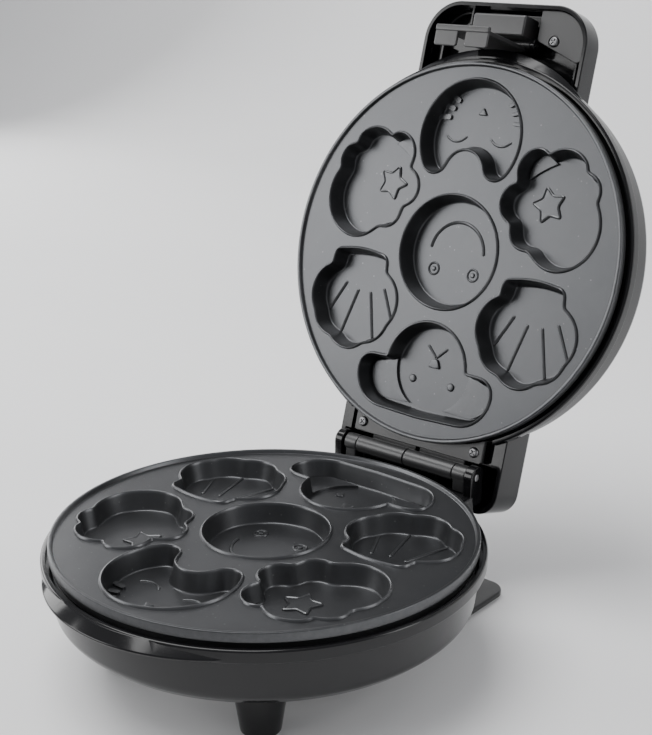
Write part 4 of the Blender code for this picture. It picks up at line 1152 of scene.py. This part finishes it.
RUBBER = rubber_look()
leg_low = FLOOR_DEPTH + PAD_T + FIT
for side, word in ((-1, "left"), (1, "right")):
    at = (side * LEG_AT[0], LEG_AT[1])
    profile = rounded([(0, leg_low, 0), (LEG_LOW_R, leg_low, 1.2), (LEG_LOW_R + 1.6, leg_low + 11, 20),
                       (LEG_TOP_R - 1.2, -BASE_DEPTH - 2.5, 3), (LEG_TOP_R, -BASE_DEPTH - FIT, 0),
                       (0, -BASE_DEPTH - FIT, 0)])
    settle(turned(profile, 72, at), f"leg_{word}", "base", GLOSS, [f"front_leg_{word}"])
    for name, place, radius in ((f"front_pad_{word}", at, LEG_LOW_R - 1.1),
                                (f"rear_pad_{word}", (side * (FOOT_W - 12), FOOT_END - 12), 7.5)):
        profile = rounded([(0, FLOOR_DEPTH, 0), (radius - 0.8, FLOOR_DEPTH, 0.4),
                           (radius, FLOOR_DEPTH + PAD_T, 0.3), (0, FLOOR_DEPTH + PAD_T, 0)], 0.3)
        settle(turned(profile, 48, place), name + "_rubber", "base", RUBBER, [name])
foot = slab(rounded([(-FOOT_W, FOOT_FRONT, FOOT_CORNER), (FOOT_W, FOOT_FRONT, FOOT_CORNER),
                     (FOOT_W, FOOT_END, FOOT_CORNER), (-FOOT_W, FOOT_END, FOOT_CORNER)]),
            leg_low, leg_low + FOOT_T, 1.0, 0.5)
column = bmesh.new()
column_loops = []
for w, z in ((34, leg_low + 1), (28, -BASE_DEPTH - FIT)):
    outline = rounded([(-w, FOOT_FRONT + 2, 4), (w, FOOT_FRONT + 2, 4), (w, BASE_FLAT_R - 3, 4),
                       (-w, BASE_FLAT_R - 3, 4)])
    column_loops.append(ring(column, outline, z))
walls(column, column_loops)
bmesh.ops.contextual_create(column, geom=column_loops[0])
bmesh.ops.contextual_create(column, geom=column_loops[1])
bmesh.ops.recalc_face_normals(column, faces=column.faces)
settle(joined(foot, column), "rear_stand", "base", GLOSS, ["rear_foot"])

# ---- Bottom cover ----
# A round satin black cover closes the bowl from below. It has a sunk ring for stiffness and a circle of
# vent slots.

BOTTOM_R = 58.0
VENTS = 18
cover_top = -BASE_DEPTH - FIT
under = cover_top - BOTTOM_T
profile = rounded([(0, under, 0), (24, under, 0), (25, under + 0.6, 0.3), (28, under + 0.6, 0.3),
                   (29, under, 0), (BOTTOM_R, under, 0.8), (BOTTOM_R, cover_top, 0.3), (0, cover_top, 0)])
cover = turned(profile)
for k in range(VENTS):
    vent = block((33, 46), (-1.1, 1.1), (under - 1, cover_top + 1), corner=1.0)
    cover = cut(cover, moved(vent, Matrix.Rotation(math.tau * (k + 0.5) / VENTS, 4, "Z")))
cover = cut(cover, *screw_holes(under - 1, cover_top + 1, BOTTOM_SCREWS))
settle(cover, "base_cover", "base", SATIN, ["bottom_cover"])

# ---- Cord gland ----
# A ribbed black bush in the back of the hinge block, where the mains lead would come out.

profile = rounded([(2.6, -6, 0), (GLAND_R, -6, 0.3), (GLAND_R, FIT, 0), (GLAND_R + 1.2, FIT, 0.3),
                   (GLAND_R + 1.0, 1.6, 0.4), (GLAND_R + 0.2, 1.8, 0.2), (GLAND_R + 0.6, 3.0, 0.3),
                   (GLAND_R - 0.1, 3.3, 0.2), (GLAND_R + 0.2, 5, 0.5), (2.6, 5, 0.4)], 0.3)
gland = moved(turned(profile, 40), Matrix.Rotation(-math.pi / 2, 4, "X"),
              Matrix.Translation((0, BLOCK_BACK, GLAND_Z)))
settle(gland, "cord_bush", "base", SATIN, ["cord_gland"])

# ---- Heaters and controls ----
# Inside each shell a ring heater lies against the back of the cooking plate over a pressed aluminium
# reflector, with a thermostat, a thermal fuse and a terminal block in the base, and a torsion spring
# beside the latch.


def ceramic_look():
    """Unglazed off-white ceramic, slightly speckled and browned by heat."""
    made, tree, shader = new_look("ceramic", Metallic=0.0)
    grain = use(tree, GRAIN, Scale=1200.0, Speck_Size=700.0)
    marks = use(tree, HANDLING, Smear_Scale=50.0, Dust_Scale=1200.0)
    base = mixed(tree, marks.outputs["Smears"], (0.8, 0.78, 0.72), (0.62, 0.57, 0.48))
    base = mixed(tree, grain.outputs["Specks"], base, (0.4, 0.36, 0.3))
    rough = spread(tree, grain.outputs["Height"], 0.3, 0.7, 0.5, 0.7)
    dress(tree, shader, base, rough, grain.outputs["Height"], 0.25, 0.0002)
    return made


CERAMIC = ceramic_look()
ALUMINIUM = metal_look("aluminium", (0.8, 0.8, 0.81), (0.62, 0.62, 0.63), 0.26, 0.42, 900.0)
for name, look in (("lower_heating_element", DARK_STEEL), ("upper_heating_element", DARK_STEEL),
                   ("lower_heat_shield", ALUMINIUM), ("upper_heat_shield", ALUMINIUM),
                   ("thermostat", ALUMINIUM), ("thermal_fuse", CERAMIC), ("terminal_block", CERAMIC),
                   ("latch_spring", STEEL)):
    kept = frame["nodes"][name]
    kept.data.materials.clear()
    kept.data.materials.append(look)
